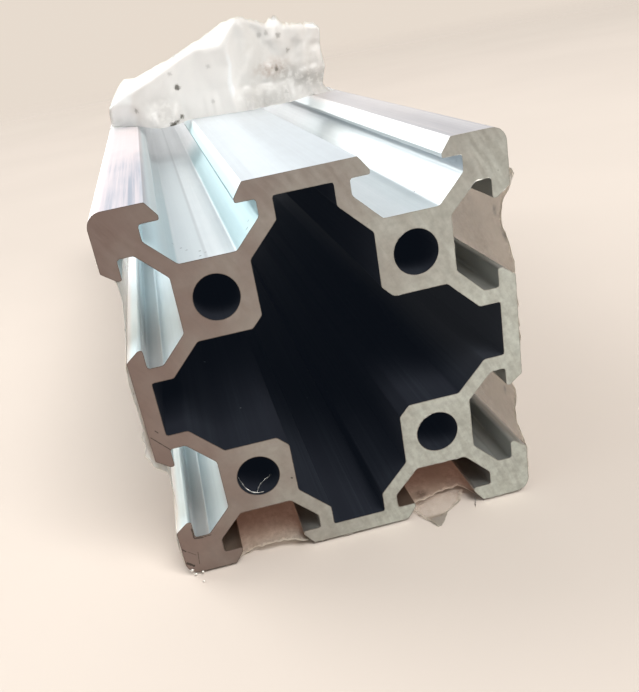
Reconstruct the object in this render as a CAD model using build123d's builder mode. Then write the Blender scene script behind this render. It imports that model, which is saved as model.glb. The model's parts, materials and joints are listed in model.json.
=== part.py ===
from build123d import *
import os

# Aluminium slot profile, two modules by two, lying on its side, with its torn packing film.
# Millimetres. +Z is up, the length runs along Y and the sawn end that the photograph shows faces -Y.
# The origin is under the middle of the piece, on the surface that it lies on.

# Driving sizes of the profile. The slots, lips, webs and bores are set out as shares of the module, so
# that the section keeps its proportions in stock of another pitch.
module = 20.0
length = 150.0
slot_depth = 0.305 * module
gap_width = 0.35 * module
bevel_width = 0.05 * module
bevel_depth = 0.0675 * module
lip_edge = 0.0225 * module
slot_side_height = 0.08 * module
web_thickness = 0.0775 * module
core_chamfer = 0.0575 * module
bore_diameter = 0.23 * module

# Radii that the die leaves on the section's corners
corner_radius = 1.5
mouth_radius = 0.15
lip_radius = 0.2
slot_corner_radius = 0.25
ceiling_radius = 0.2
web_radius = 0.45

# Driving sizes of the packing film
film_thickness = 0.25
film_slack = 0.05
tear_distance = 69.0
side_tear_front = 5.0
side_tear_back = 2.5
flap_left_height = 4.2
flap_peak_height = 13.7
flap_right_height = 10.4
flap_peak_place = 4.6
flap_side_gap = 1.8
flap_corner_radius = 1.5
flap_wave = 0.7
flap_waves = 5

# Section sizes that follow from the driving ones
half_width = module
slot_place = module / 2
core_half = slot_place - slot_depth
core_inner = slot_place - core_half
floor_half = core_half - web_thickness / 2**0.5
lip_thickness = bevel_depth + lip_edge
cavity_half = floor_half + slot_depth - lip_thickness - slot_side_height
gap_half = gap_width / 2
mouth_half = gap_half + bevel_width
arm_half = slot_place - cavity_half - web_thickness
arm_reach = half_width - lip_thickness

# The webs between the slots and the centre cavity run at 45 degrees: on a web's inner face x + z stays
# the same, so its two ends follow from that sum.
web_sum = (slot_place - floor_half) + (half_width - slot_depth) - web_thickness * 2**0.5
arm_shoulder = web_sum - arm_half
core_shoulder = web_sum - core_inner

# Places that both pieces share
film_inside = half_width + film_slack
film_outside = film_inside + film_thickness
axis_height = film_outside
cut_end = -length / 2
tear_line = cut_end + tear_distance
far_end = Plane((0, length / 2, axis_height), x_dir=(1, 0, 0), z_dir=(0, -1, 0))

# One slot, drawn with the middle of its mouth at the origin and its depth along -X. Its rounded mouth
# corners meet the outer face, so the outline runs along that face before it turns in.
with BuildSketch() as slot:
    with BuildLine():
        FilletPolyline(
            (0, mouth_half + bevel_width),
            (0, mouth_half),
            (-bevel_depth, gap_half),
            (-lip_thickness, gap_half),
            (-lip_thickness, cavity_half),
            (-lip_thickness - slot_side_height, cavity_half),
            (-slot_depth, floor_half),
            (-slot_depth, 0),
            radius=[mouth_radius, lip_radius, lip_radius, slot_corner_radius, web_radius, web_radius],
        )
        Polyline(
            (-slot_depth, 0),
            (bevel_depth, 0),
            (bevel_depth, mouth_half + bevel_width),
            (0, mouth_half + bevel_width),
        )
    make_face()
    mirror(about=Plane.XZ)

# One arm of the centre cavity, drawn along +X from the middle to the underside of the land
with BuildSketch() as cavity_arm:
    with BuildLine():
        FilletPolyline(
            (core_inner + core_chamfer / 2, core_inner + core_chamfer / 2),
            (core_inner + core_chamfer, core_inner),
            (core_shoulder, core_inner),
            (arm_shoulder, arm_half),
            (arm_reach, arm_half),
            (arm_reach, 0),
            radius=[web_radius, web_radius, web_radius, ceiling_radius],
        )
        Polyline((arm_reach, 0), (0, 0), (core_inner + core_chamfer / 2, core_inner + core_chamfer / 2))
    make_face()
    mirror(about=Plane.XZ)

# The profile: a rounded square less its cavity, eight slots and four screw bores, extruded in one piece
with BuildPart() as extrusion_profile:
    with BuildSketch(far_end) as section:
        RectangleRounded(2 * half_width, 2 * half_width, corner_radius)
        with PolarLocations(0, 4):
            add(cavity_arm.sketch, mode=Mode.SUBTRACT)
        with PolarLocations(half_width, 4), Locations((0, slot_place), (0, -slot_place)):
            add(slot.sketch, mode=Mode.SUBTRACT)
        with GridLocations(2 * slot_place, 2 * slot_place, 2, 2):
            Circle(bore_diameter / 2, mode=Mode.SUBTRACT)
    extrude(amount=length)
extrusion_profile.part.label = "extrusion_profile"

# The flap: film torn free of the top side, folded up at the tear and standing there in shallow waves
flap_half = half_width - flap_side_gap
flap_line = tear_line + flap_wave
flap_foot = axis_height + film_inside
wave_width = 2 * flap_half / flap_waves

with BuildPart() as flap:
    with BuildSketch(Plane.XY.offset(flap_foot)):
        with BuildLine():
            for wave in range(flap_waves):
                start = wave * wave_width - flap_half
                bow = flap_wave * (-1) ** wave
                SagittaArc((start, flap_line), (start + wave_width, flap_line), bow)
                SagittaArc(
                    (start, flap_line + film_thickness), (start + wave_width, flap_line + film_thickness), bow
                )
            for side in (-flap_half, flap_half):
                Line((side, flap_line), (side, flap_line + film_thickness))
        make_face()
    extrude(amount=flap_peak_height)
    with BuildSketch(Plane((0, flap_line, flap_foot), x_dir=(1, 0, 0), z_dir=(0, -1, 0))):
        with BuildLine():
            FilletPolyline(
                (-flap_half, 0),
                (-flap_half, flap_left_height),
                (flap_peak_place, flap_peak_height),
                (flap_half, flap_right_height),
                (flap_half, 0),
                radius=flap_corner_radius,
            )
            Line((flap_half, 0), (-flap_half, 0))
        make_face()
    extrude(amount=2 * flap_wave + film_thickness, both=True, mode=Mode.INTERSECT)

# The film: a close sleeve on all four sides, torn off the top from the cut end to the tear line
with BuildPart() as packing_film:
    with BuildSketch(far_end):
        RectangleRounded(2 * film_outside, 2 * film_outside, corner_radius + film_slack + film_thickness)
        RectangleRounded(2 * film_inside, 2 * film_inside, corner_radius + film_slack, mode=Mode.SUBTRACT)
    extrude(amount=length)
    with BuildSketch(Plane.YZ):
        with BuildLine():
            Polyline(
                (cut_end, axis_height + film_outside),
                (cut_end, axis_height + half_width - side_tear_front),
                (tear_line, axis_height + half_width - side_tear_back),
                (tear_line, axis_height + film_outside),
                close=True,
            )
        make_face()
    extrude(amount=film_outside, both=True, mode=Mode.SUBTRACT)
    add(flap.part)
packing_film.part.label = "packing_film"

os.makedirs("parts", exist_ok=True)
export_step(extrusion_profile.part, "parts/extrusion_profile.step")
export_step(packing_film.part, "parts/packing_film.step")

print("section area of the profile, mm2:", round(section.sketch.area, 2))
print("wall sizes:", round(cavity_half, 3), round(floor_half, 3), round(arm_half, 3), round(core_half, 3))
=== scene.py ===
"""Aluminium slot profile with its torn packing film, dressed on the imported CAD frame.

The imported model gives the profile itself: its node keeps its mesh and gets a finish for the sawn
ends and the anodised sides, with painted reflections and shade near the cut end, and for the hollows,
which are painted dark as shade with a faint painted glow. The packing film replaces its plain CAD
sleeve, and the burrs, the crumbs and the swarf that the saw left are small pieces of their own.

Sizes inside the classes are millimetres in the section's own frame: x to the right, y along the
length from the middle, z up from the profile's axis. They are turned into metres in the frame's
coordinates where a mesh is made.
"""
import json
import logging
import math
from dataclasses import dataclass, field
from enum import Enum
from typing import ClassVar

import bpy
import numpy as np
from mathutils import Matrix

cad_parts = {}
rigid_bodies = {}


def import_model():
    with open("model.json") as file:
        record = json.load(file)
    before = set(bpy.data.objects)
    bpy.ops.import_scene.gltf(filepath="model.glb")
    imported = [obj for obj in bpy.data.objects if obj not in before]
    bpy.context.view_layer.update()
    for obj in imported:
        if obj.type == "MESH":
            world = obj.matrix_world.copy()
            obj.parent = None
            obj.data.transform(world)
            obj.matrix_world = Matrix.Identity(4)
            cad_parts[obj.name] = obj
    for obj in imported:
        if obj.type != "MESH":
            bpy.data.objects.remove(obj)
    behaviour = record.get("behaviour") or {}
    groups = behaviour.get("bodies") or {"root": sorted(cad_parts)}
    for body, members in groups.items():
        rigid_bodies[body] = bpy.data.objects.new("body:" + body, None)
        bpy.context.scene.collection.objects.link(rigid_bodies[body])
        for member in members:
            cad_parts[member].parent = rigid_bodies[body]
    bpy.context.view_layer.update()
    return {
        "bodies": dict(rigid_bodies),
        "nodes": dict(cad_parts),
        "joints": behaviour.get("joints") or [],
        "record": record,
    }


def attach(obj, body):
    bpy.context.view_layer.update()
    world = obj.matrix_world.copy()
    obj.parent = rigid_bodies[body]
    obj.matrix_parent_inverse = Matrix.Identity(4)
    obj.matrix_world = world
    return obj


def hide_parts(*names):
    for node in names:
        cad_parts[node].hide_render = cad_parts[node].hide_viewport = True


LOG = logging.getLogger("slot_profile")

MM = 0.001
AXIS_HEIGHT = 20.3
HALF_WIDTH = 20.0
HALF_LENGTH = 75.0
UNLIT = (0.0, 0.0, 0.0)

Colour = tuple[float, float, float]
Point = tuple[float, float]
Place = tuple[float, float, float]
Spot = tuple[float, float, float, float]
Array = np.ndarray
Rng = np.random.Generator
Mesh = tuple[Array, Array]
Material = bpy.types.Material
Node = bpy.types.Node
Piece = bpy.types.Object
Socket = bpy.types.NodeSocket


class Side(Enum):
    """The four sides of the profile, in the order in which the film's stations meet them."""

    TOP = 0
    LEFT = 1
    BOTTOM = 2
    RIGHT = 3


Marks = dict[Side, tuple[Point, ...]]


# Meshes


def grid_faces(
    across: int, along: int, closed_across: bool = False, closed_along: bool = False
) -> Array:
    """Number the quads of a grid whose point (i, j) has the number i * along + j.

    Args:
        across: number of points in the first direction.
        along: number of points in the second direction.
        closed_across: joins the last column to the first.
        closed_along: joins the last row to the first.

    Returns:
        An array of quads; each runs (i, j), (i, j + 1), (i + 1, j + 1), (i + 1, j).
    """
    i = np.arange(across if closed_across else across - 1)
    j = np.arange(along if closed_along else along - 1)
    i, j = (a.ravel() for a in np.meshgrid(i, j, indexing="ij"))
    i2, j2 = (i + 1) % across, (j + 1) % along
    return np.stack([i * along + j, i * along + j2, i2 * along + j2, i2 * along + j], axis=1)


def ring_cap(ring: Array) -> Array:
    """Close a ring of an even number of points with quads that run across it like rungs."""
    i = np.arange(len(ring) // 2 - 1)
    return np.stack([ring[i], ring[i + 1], ring[-2 - i], ring[-1 - i]], axis=1)


def tube_faces(rings: int, around: int) -> Array:
    """Number the quads of a tube, ring by ring, and close both of its ends.

    Args:
        rings: the number of rings along the tube.
        around: the number of points of a ring, which is even.

    Returns:
        An array of quads.
    """
    first = np.arange(around)
    last = first + (rings - 1) * around
    sides = grid_faces(rings, around, closed_along=True)
    return np.concatenate([sides, ring_cap(first)[:, ::-1], ring_cap(last)])


def make_piece(
    name: str, points: Array, faces: Array, material: Material, smooth: bool = True
) -> Piece:
    """Make a mesh object from section-frame points in millimetres.

    Args:
        name: the piece's name.
        points: one row (x, y, z) for each point; z is counted from the profile's axis.
        faces: one row of point numbers for each face, all of one length.
        material: the piece's finish.
        smooth: whether the faces are shaded smooth.

    Returns:
        The new object, at the world's origin, with its place in its mesh.
    """
    placed = (points + np.array([0.0, 0.0, AXIS_HEIGHT])) * MM
    mesh = bpy.data.meshes.new(name)
    count, corners = faces.shape
    mesh.vertices.add(len(placed))
    mesh.vertices.foreach_set("co", placed.astype(np.float32).ravel())
    mesh.loops.add(count * corners)
    mesh.loops.foreach_set("vertex_index", faces.astype(np.int32).ravel())
    mesh.polygons.add(count)
    mesh.polygons.foreach_set("loop_start", np.arange(0, count * corners, corners, dtype=np.int32))
    mesh.update(calc_edges=True)
    mesh.validate()
    mesh.polygons.foreach_set("use_smooth", np.full(len(mesh.polygons), smooth))
    mesh.materials.append(material)
    piece = bpy.data.objects.new(name, mesh)
    bpy.context.scene.collection.objects.link(piece)
    return piece


def set_attribute(piece: Piece, name: str, values: Array) -> None:
    """Store one number for each point of a piece, for its material to read.

    Args:
        piece: the mesh object.
        name: the attribute's name.
        values: one value for each point.
    """
    attribute = piece.data.attributes.new(name, "FLOAT", "POINT")
    attribute.data.foreach_set("value", values.astype(np.float32).ravel())


def mark_sharp(piece: Piece, points: Array) -> None:
    """Shade a piece's edges as sharp where both of an edge's points are among the given ones.

    Args:
        piece: the mesh object.
        points: the numbers of the points along the sharp line.
    """
    ends = np.empty(2 * len(piece.data.edges), np.int32)
    piece.data.edges.foreach_get("vertices", ends)
    chosen = np.isin(ends.reshape(-1, 2), points).all(axis=1)
    attribute = piece.data.attributes.new("sharp_edge", "BOOLEAN", "EDGE")
    attribute.data.foreach_set("value", chosen)


def bounded(values: Array, low: float, high: float) -> Array:
    """Return a smooth step from 0 at low to 1 at high: 3t² − 2t³ of the share t of the way."""
    t = np.clip((values - low) / (high - low), 0.0, 1.0)
    return t * t * (3.0 - 2.0 * t)


def smoothed(rng: Rng, count: int, reach: int, closed: bool = False) -> Array:
    """Return random numbers about 0, averaged with their neighbours and scaled to ±1.

    Args:
        rng: the seeded source of numbers.
        count: how many numbers.
        reach: how many neighbours on each side are averaged, with weights that fall off as a bell.
        closed: whether the row runs round to its start.

    Returns:
        The array of numbers.
    """
    weights = np.exp(-np.linspace(-2.0, 2.0, 2 * reach + 1) ** 2)
    raw = rng.uniform(-1.0, 1.0, count)
    padded = np.pad(raw, reach, mode="wrap" if closed else "reflect")
    soft = np.convolve(padded, weights / weights.sum(), mode="valid")
    return soft / np.abs(soft).max()


def swept_tube(path: Array, radii: Array, flatness: float, sides: int) -> Mesh:
    """Carry an ellipse along a path and close both ends.

    A point of the surface is the path's point plus radius · (cos a · across + flatness · sin a · up),
    where across and up are square to the path and the angle a runs once round.

    Args:
        path: the middle line's points, one row each.
        radii: the ellipse's half width at each point; the first and last are nearly 0.
        flatness: the ellipse's height over its width.
        sides: the number of points round the ellipse.

    Returns:
        The points and the quads.
    """
    ahead = np.gradient(path, axis=0)
    ahead /= np.linalg.norm(ahead, axis=1, keepdims=True)
    across = np.cross(ahead, np.array([0.12, 0.95, 0.3]))
    across /= np.linalg.norm(across, axis=1, keepdims=True)
    up = np.cross(ahead, across)
    angle = np.linspace(0.0, 2.0 * math.pi, sides, endpoint=False)
    cosine, sine = np.cos(angle)[None, :, None], np.sin(angle)[None, :, None]
    ring = cosine * across[:, None] + flatness * sine * up[:, None]
    points = path[:, None] + radii[:, None, None] * ring
    return points.reshape(-1, 3), tube_faces(len(path), sides)


def joined(parts: list[Mesh]) -> Mesh:
    """Join several pairs of points and faces into one, and renumber the faces."""
    starts = np.cumsum([0] + [len(points) for points, _ in parts[:-1]])
    faces = [quads + start for (_, quads), start in zip(parts, starts)]
    return np.concatenate([points for points, _ in parts]), np.concatenate(faces)


def along_marks(places: Array, marks: tuple[Point, ...]) -> Array:
    """Return the value at each place, in straight lines between marks of place and value."""
    return np.interp(places, *np.array(marks).T)


def curve_through(points: Array, count: int) -> Array:
    """Run a smooth line near a row of points by averaging corners away.

    Args:
        points: the rough line's points, one row each.
        count: the number of points that the line gets.

    Returns:
        Points spread evenly along the line; each coordinate is a bell-weighted mean of the rough line's.
    """
    reach = np.concatenate([[0.0], np.cumsum(np.linalg.norm(np.diff(points, axis=0), axis=1))])
    even = np.linspace(0.0, reach[-1], count)
    rough = np.stack([np.interp(even, reach, points[:, k]) for k in range(3)], axis=1)
    width = 0.32 * reach[-1] / (len(points) - 1)
    weights = np.exp(-(((even[:, None] - even[None, :]) / width) ** 2))
    soft = weights @ rough / weights.sum(axis=1, keepdims=True)
    hold = bounded(np.minimum(even, reach[-1] - even), 0.0, width)[:, None]
    return rough * (1.0 - hold) + soft * hold


# Node trees


class Graph:
    """A node tree, with short ways to add nodes and join them."""

    def __init__(self, tree: bpy.types.NodeTree) -> None:
        """Start on an empty tree."""
        self.tree = tree
        tree.nodes.clear()

    def add(self, kind: str, **settings: object) -> Node:
        """Add a node of a kind and set its properties."""
        node = self.tree.nodes.new(kind)
        for key, value in settings.items():
            setattr(node, key, value)
        return node

    def feed(self, socket: Socket, value: object) -> None:
        """Link a socket to an output, or set it to a constant."""
        if isinstance(value, Socket):
            self.tree.links.new(value, socket)
        else:
            socket.default_value = value

    def fill(self, node: Node, **inputs: object) -> Node:
        """Feed a node's inputs, whose names are given with _ for a space, and return the node."""
        for key, value in inputs.items():
            self.feed(node.inputs[key.replace("_", " ")], value)
        return node

    def math(self, operation: str, *values: object, clamp: bool = False) -> Socket:
        """Add a Math node and return its output."""
        node = self.add("ShaderNodeMath", operation=operation, use_clamp=clamp)
        for socket, value in zip(node.inputs, values):
            self.feed(socket, value)
        return node.outputs[0]

    def times(self, first: object, second: object) -> Socket:
        """Return a product."""
        return self.math("MULTIPLY", first, second)

    def linear(self, value: object, slope: object, base: object) -> Socket:
        """Return slope · value + base."""
        return self.math("MULTIPLY_ADD", value, slope, base)

    def vector(self, operation: str, *values: object) -> Socket:
        """Add a Vector Math node and return its vector, or its value where it has one."""
        node = self.add("ShaderNodeVectorMath", operation=operation)
        for socket, value in zip(node.inputs, values):
            self.feed(socket, value)
        return node.outputs[1 if operation in ("DISTANCE", "LENGTH", "DOT_PRODUCT") else 0]

    def scaled(self, vector: object, factor: object) -> Socket:
        """Return a vector times a number."""
        node = self.add("ShaderNodeVectorMath", operation="SCALE")
        self.feed(node.inputs[0], vector)
        self.feed(node.inputs["Scale"], factor)
        return node.outputs[0]

    def split(self, vector: Socket) -> tuple[Socket, ...]:
        """Return a vector's x, y and z."""
        node = self.add("ShaderNodeSeparateXYZ")
        self.feed(node.inputs[0], vector)
        return tuple(node.outputs)

    def join(self, x: object, y: object, z: object) -> Socket:
        """Return a vector made of three numbers."""
        node = self.add("ShaderNodeCombineXYZ")
        for socket, value in zip(node.inputs, (x, y, z)):
            self.feed(socket, value)
        return node.outputs[0]

    def remap(
        self, value: object, low: object, high: object, to_low: float = 0.0, to_high: float = 1.0
    ) -> Socket:
        """Return a smooth step of a value between two others."""
        node = self.add("ShaderNodeMapRange", interpolation_type="SMOOTHSTEP")
        names = ("Value", "From Min", "From Max", "To Min", "To Max")
        for key, given in zip(names, (value, low, high, to_low, to_high)):
            self.feed(node.inputs[key], given)
        return node.outputs["Result"]

    def mix(self, share: object, first: object, second: object) -> Socket:
        """Return a mix of two colours."""
        node = self.add("ShaderNodeMix", data_type="RGBA")
        self.feed(node.inputs["Factor"], share)
        for socket, value in ((node.inputs[6], first), (node.inputs[7], second)):
            self.feed(socket, (*value, 1.0) if isinstance(value, tuple) else value)
        return node.outputs[2]

    def blend(self, share: object, first: object, second: object) -> Socket:
        """Return a mix of two numbers."""
        node = self.add("ShaderNodeMix", data_type="FLOAT")
        self.feed(node.inputs["Factor"], share)
        self.feed(node.inputs[2], first)
        self.feed(node.inputs[3], second)
        return node.outputs[0]

    def noise(
        self, vector: object, scale: object, detail: float = 3.0, roughness: float = 0.55
    ) -> Socket:
        """Return a noise value of a vector."""
        node = self.add("ShaderNodeTexNoise")
        self.fill(node, Vector=vector, Scale=scale, Detail=detail, Roughness=roughness)
        return node.outputs["Fac"]

    def greatest(self, masks: list[Socket]) -> Socket:
        """Return the greatest of several masks."""
        result = masks[0]
        for mask in masks[1:]:
            result = self.math("MAXIMUM", result, mask)
        return result

    def tinted(self, mask: object, colour: object, tint: object) -> Socket:
        """Return a colour that is multiplied by a tint where a mask is 1."""
        return self.mix(mask, colour, self.vector("MULTIPLY", colour, tint))

    def all_of(self, masks: list[Socket]) -> Socket:
        """Return the product of several masks."""
        result = masks[0]
        for mask in masks[1:]:
            result = self.times(result, mask)
        return result

    def place(self, name: str, **inputs: object) -> Node:
        """Place a shared node group and feed its inputs, whose names are given with _ for a space."""
        return self.fill(self.add("ShaderNodeGroup", node_tree=bpy.data.node_groups[name]), **inputs)

    def specks(self, point: Socket, spacing: float, radius: float, share: float) -> Socket:
        """Return the mask of specks of a radius, at a share of the places of a spacing."""
        return self.place("specks", Point=point, Spacing=spacing, Radius=radius, Share=share).outputs[0]

    def dots(self, plane: Socket, wobble: Socket, places: tuple[Spot, ...], rim: Point) -> Socket:
        """Return the mask of single dots.

        A dot's mask is a smooth step of its radius less the distance to its middle and a wobble.

        Args:
            plane: the shaded point on the dots' plane.
            wobble: a small uneven length, which makes the dots ragged.
            places: each dot's middle on the plane, its radius and its strength.
            rim: where the step starts and ends.

        Returns:
            The mask.
        """
        masks = []
        for first, second, radius, strength in places:
            distance = self.math("ADD", self.vector("DISTANCE", plane, (first, second, 0.0)), wobble)
            masks.append(self.remap(self.math("SUBTRACT", radius, distance), *rim, 0.0, strength))
        return self.greatest(masks)

    def section_point(self) -> Socket:
        """Return the shaded point in millimetres, in the section's own frame."""
        where = self.add("ShaderNodeTexCoord").outputs["Object"]
        return self.vector("SUBTRACT", self.scaled(where, 1.0 / MM), (0.0, 0.0, AXIS_HEIGHT))


@dataclass(frozen=True)
class SidePoint:
    """What the anodised sides' colours are worked out from, at the shaded point."""

    graph: Graph
    point: Socket
    streaks: Node
    stains: Node
    x: Socket
    y: Socket
    z: Socket
    across: Socket
    up: Socket
    left: Socket
    down: Socket
    wear: Socket

    @classmethod
    def read(cls, graph: Graph, point: Socket, streaks: Node, stains: Node) -> "SidePoint":
        """Work the values out.

        Args:
            graph: the material's graph.
            point: the shaded point in millimetres.
            streaks: the lines along the length.
            stains: the stains.

        Returns:
            The values; the wear is half wide bands, three tenths fine lines and two tenths mottling.
        """
        x, y, z = graph.split(point)
        wear = graph.times(streaks.outputs["Band"], 0.5)
        wear = graph.linear(streaks.outputs["Line"], 0.3, wear)
        wear = graph.linear(stains.outputs["Mottle"], 0.2, wear)
        sizes = (graph.math("ABSOLUTE", value) for value in (x, z))
        turned = (graph.times(value, -1.0) for value in (x, z))
        return cls(graph, point, streaks, stains, x, y, z, *sizes, *turned, wear)


class SharedEffects:
    """The node groups that more than one finish uses, each built once."""

    @staticmethod
    def start(name: str, outputs: list[str], **inputs: float | None) -> tuple[Graph, Node, Node]:
        """Make an empty group.

        Args:
            name: the group's name.
            outputs: the names of the float outputs.
            **inputs: each input's default value, or None for a vector.

        Returns:
            The group's graph, its input node and its output node.
        """
        tree = bpy.data.node_groups.new(name, "ShaderNodeTree")
        for key, default in inputs.items():
            kind = "NodeSocketVector" if default is None else "NodeSocketFloat"
            socket = tree.interface.new_socket(key, in_out="INPUT", socket_type=kind)
            if default is not None:
                socket.default_value = default
        for key in outputs:
            tree.interface.new_socket(key, in_out="OUTPUT", socket_type="NodeSocketFloat")
        graph = Graph(tree)
        return graph, graph.add("NodeGroupInput"), graph.add("NodeGroupOutput")

    def build(self) -> None:
        """Build every group."""
        self.streaks()
        self.blotches()
        self.specks()
        self.strokes()

    def streaks(self) -> None:
        """Fine lines along the length, as a die leaves them: noise on a point whose y is nearly still."""
        graph, given, result = self.start("die_streaks", ["Line", "Band"], Point=None, Pitch=1.0)
        x, y, z = graph.split(given.outputs["Point"])
        drawn = graph.join(x, graph.times(y, 0.008), z)
        fine = graph.noise(drawn, given.outputs["Pitch"], 4.0, 0.7)
        wide = graph.noise(drawn, graph.times(given.outputs["Pitch"], 0.17), 2.0, 0.5)
        graph.feed(result.inputs["Line"], graph.remap(fine, 0.34, 0.68))
        graph.feed(result.inputs["Band"], graph.remap(wide, 0.32, 0.68))

    def blotches(self) -> None:
        """Soft stains of about the given size, with some finer mottling in them."""
        graph, given, result = self.start("blotches", ["Stain", "Mottle"], Point=None, Size=8.0)
        scale = graph.math("DIVIDE", 1.0, given.outputs["Size"])
        soft = graph.noise(given.outputs["Point"], scale, 2.0, 0.5)
        fine = graph.noise(given.outputs["Point"], graph.times(scale, 6.0), 4.0, 0.65)
        graph.feed(result.inputs["Stain"], graph.remap(soft, 0.3, 0.7))
        graph.feed(result.inputs["Mottle"], graph.remap(fine, 0.3, 0.7))

    def specks(self) -> None:
        """Scattered grains: cells of the given spacing, of which a share holds one round speck."""
        graph, given, result = self.start(
            "specks", ["Speck"], Point=None, Spacing=2.0, Radius=0.1, Share=0.3
        )
        cells = graph.add("ShaderNodeTexVoronoi", feature="F1")
        scale = graph.math("DIVIDE", 1.0, given.outputs["Spacing"])
        graph.fill(cells, Vector=given.outputs["Point"], Scale=scale)
        distance = graph.times(cells.outputs["Distance"], given.outputs["Spacing"])
        pick, size, _ = graph.split(cells.outputs["Color"])
        reach = graph.times(given.outputs["Radius"], graph.math("ADD", size, 0.35))
        inside = graph.remap(graph.math("SUBTRACT", reach, distance), -0.03, 0.05)
        chosen = graph.math("LESS_THAN", pick, given.outputs["Share"])
        graph.feed(result.inputs["Speck"], graph.times(inside, chosen))

    def strokes(self) -> None:
        """A straight scratch between two points: 1 where the distance to it is under its width."""
        graph, given, result = self.start("stroke", ["Stroke"], Point=None, From=None, To=None, Width=0.1)
        reach = graph.vector("SUBTRACT", given.outputs["To"], given.outputs["From"])
        offset = graph.vector("SUBTRACT", given.outputs["Point"], given.outputs["From"])
        along = graph.vector("DOT_PRODUCT", offset, reach)
        share = graph.math("DIVIDE", along, graph.vector("DOT_PRODUCT", reach, reach), clamp=True)
        distance = graph.vector("DISTANCE", offset, graph.scaled(reach, share))
        ragged = graph.times(graph.noise(given.outputs["Point"], 4.0, 2.0, 0.6), 1.5)
        width = graph.times(given.outputs["Width"], ragged)
        within = graph.math("SUBTRACT", width, distance)
        graph.feed(result.inputs["Stroke"], graph.remap(within, -0.04, 0.04))


# Finishes


@dataclass(frozen=True)
class Finish:
    """What every finish has: a name, and a way to start its material."""

    name: str = "finish"

    def start(self) -> tuple[Graph, Node, Material]:
        """Make an empty material and return its graph, its Principled shader and the material."""
        material = bpy.data.materials.new(self.name)
        material.use_nodes = True
        graph = Graph(material.node_tree)
        shader = graph.add("ShaderNodeBsdfPrincipled")
        output = graph.add("ShaderNodeOutputMaterial")
        graph.feed(output.inputs["Surface"], shader.outputs[0])
        return graph, shader, material

    @staticmethod
    def bump(graph: Graph, shader: Node, height: object, depth: float, strength: float) -> None:
        """Feed a height in 0 to 1 to a shader's normal, with its depth in millimetres."""
        node = graph.fill(graph.add("ShaderNodeBump"), Strength=strength, Distance=depth * MM, Height=height)
        graph.feed(shader.inputs["Normal"], node.outputs[0])


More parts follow.
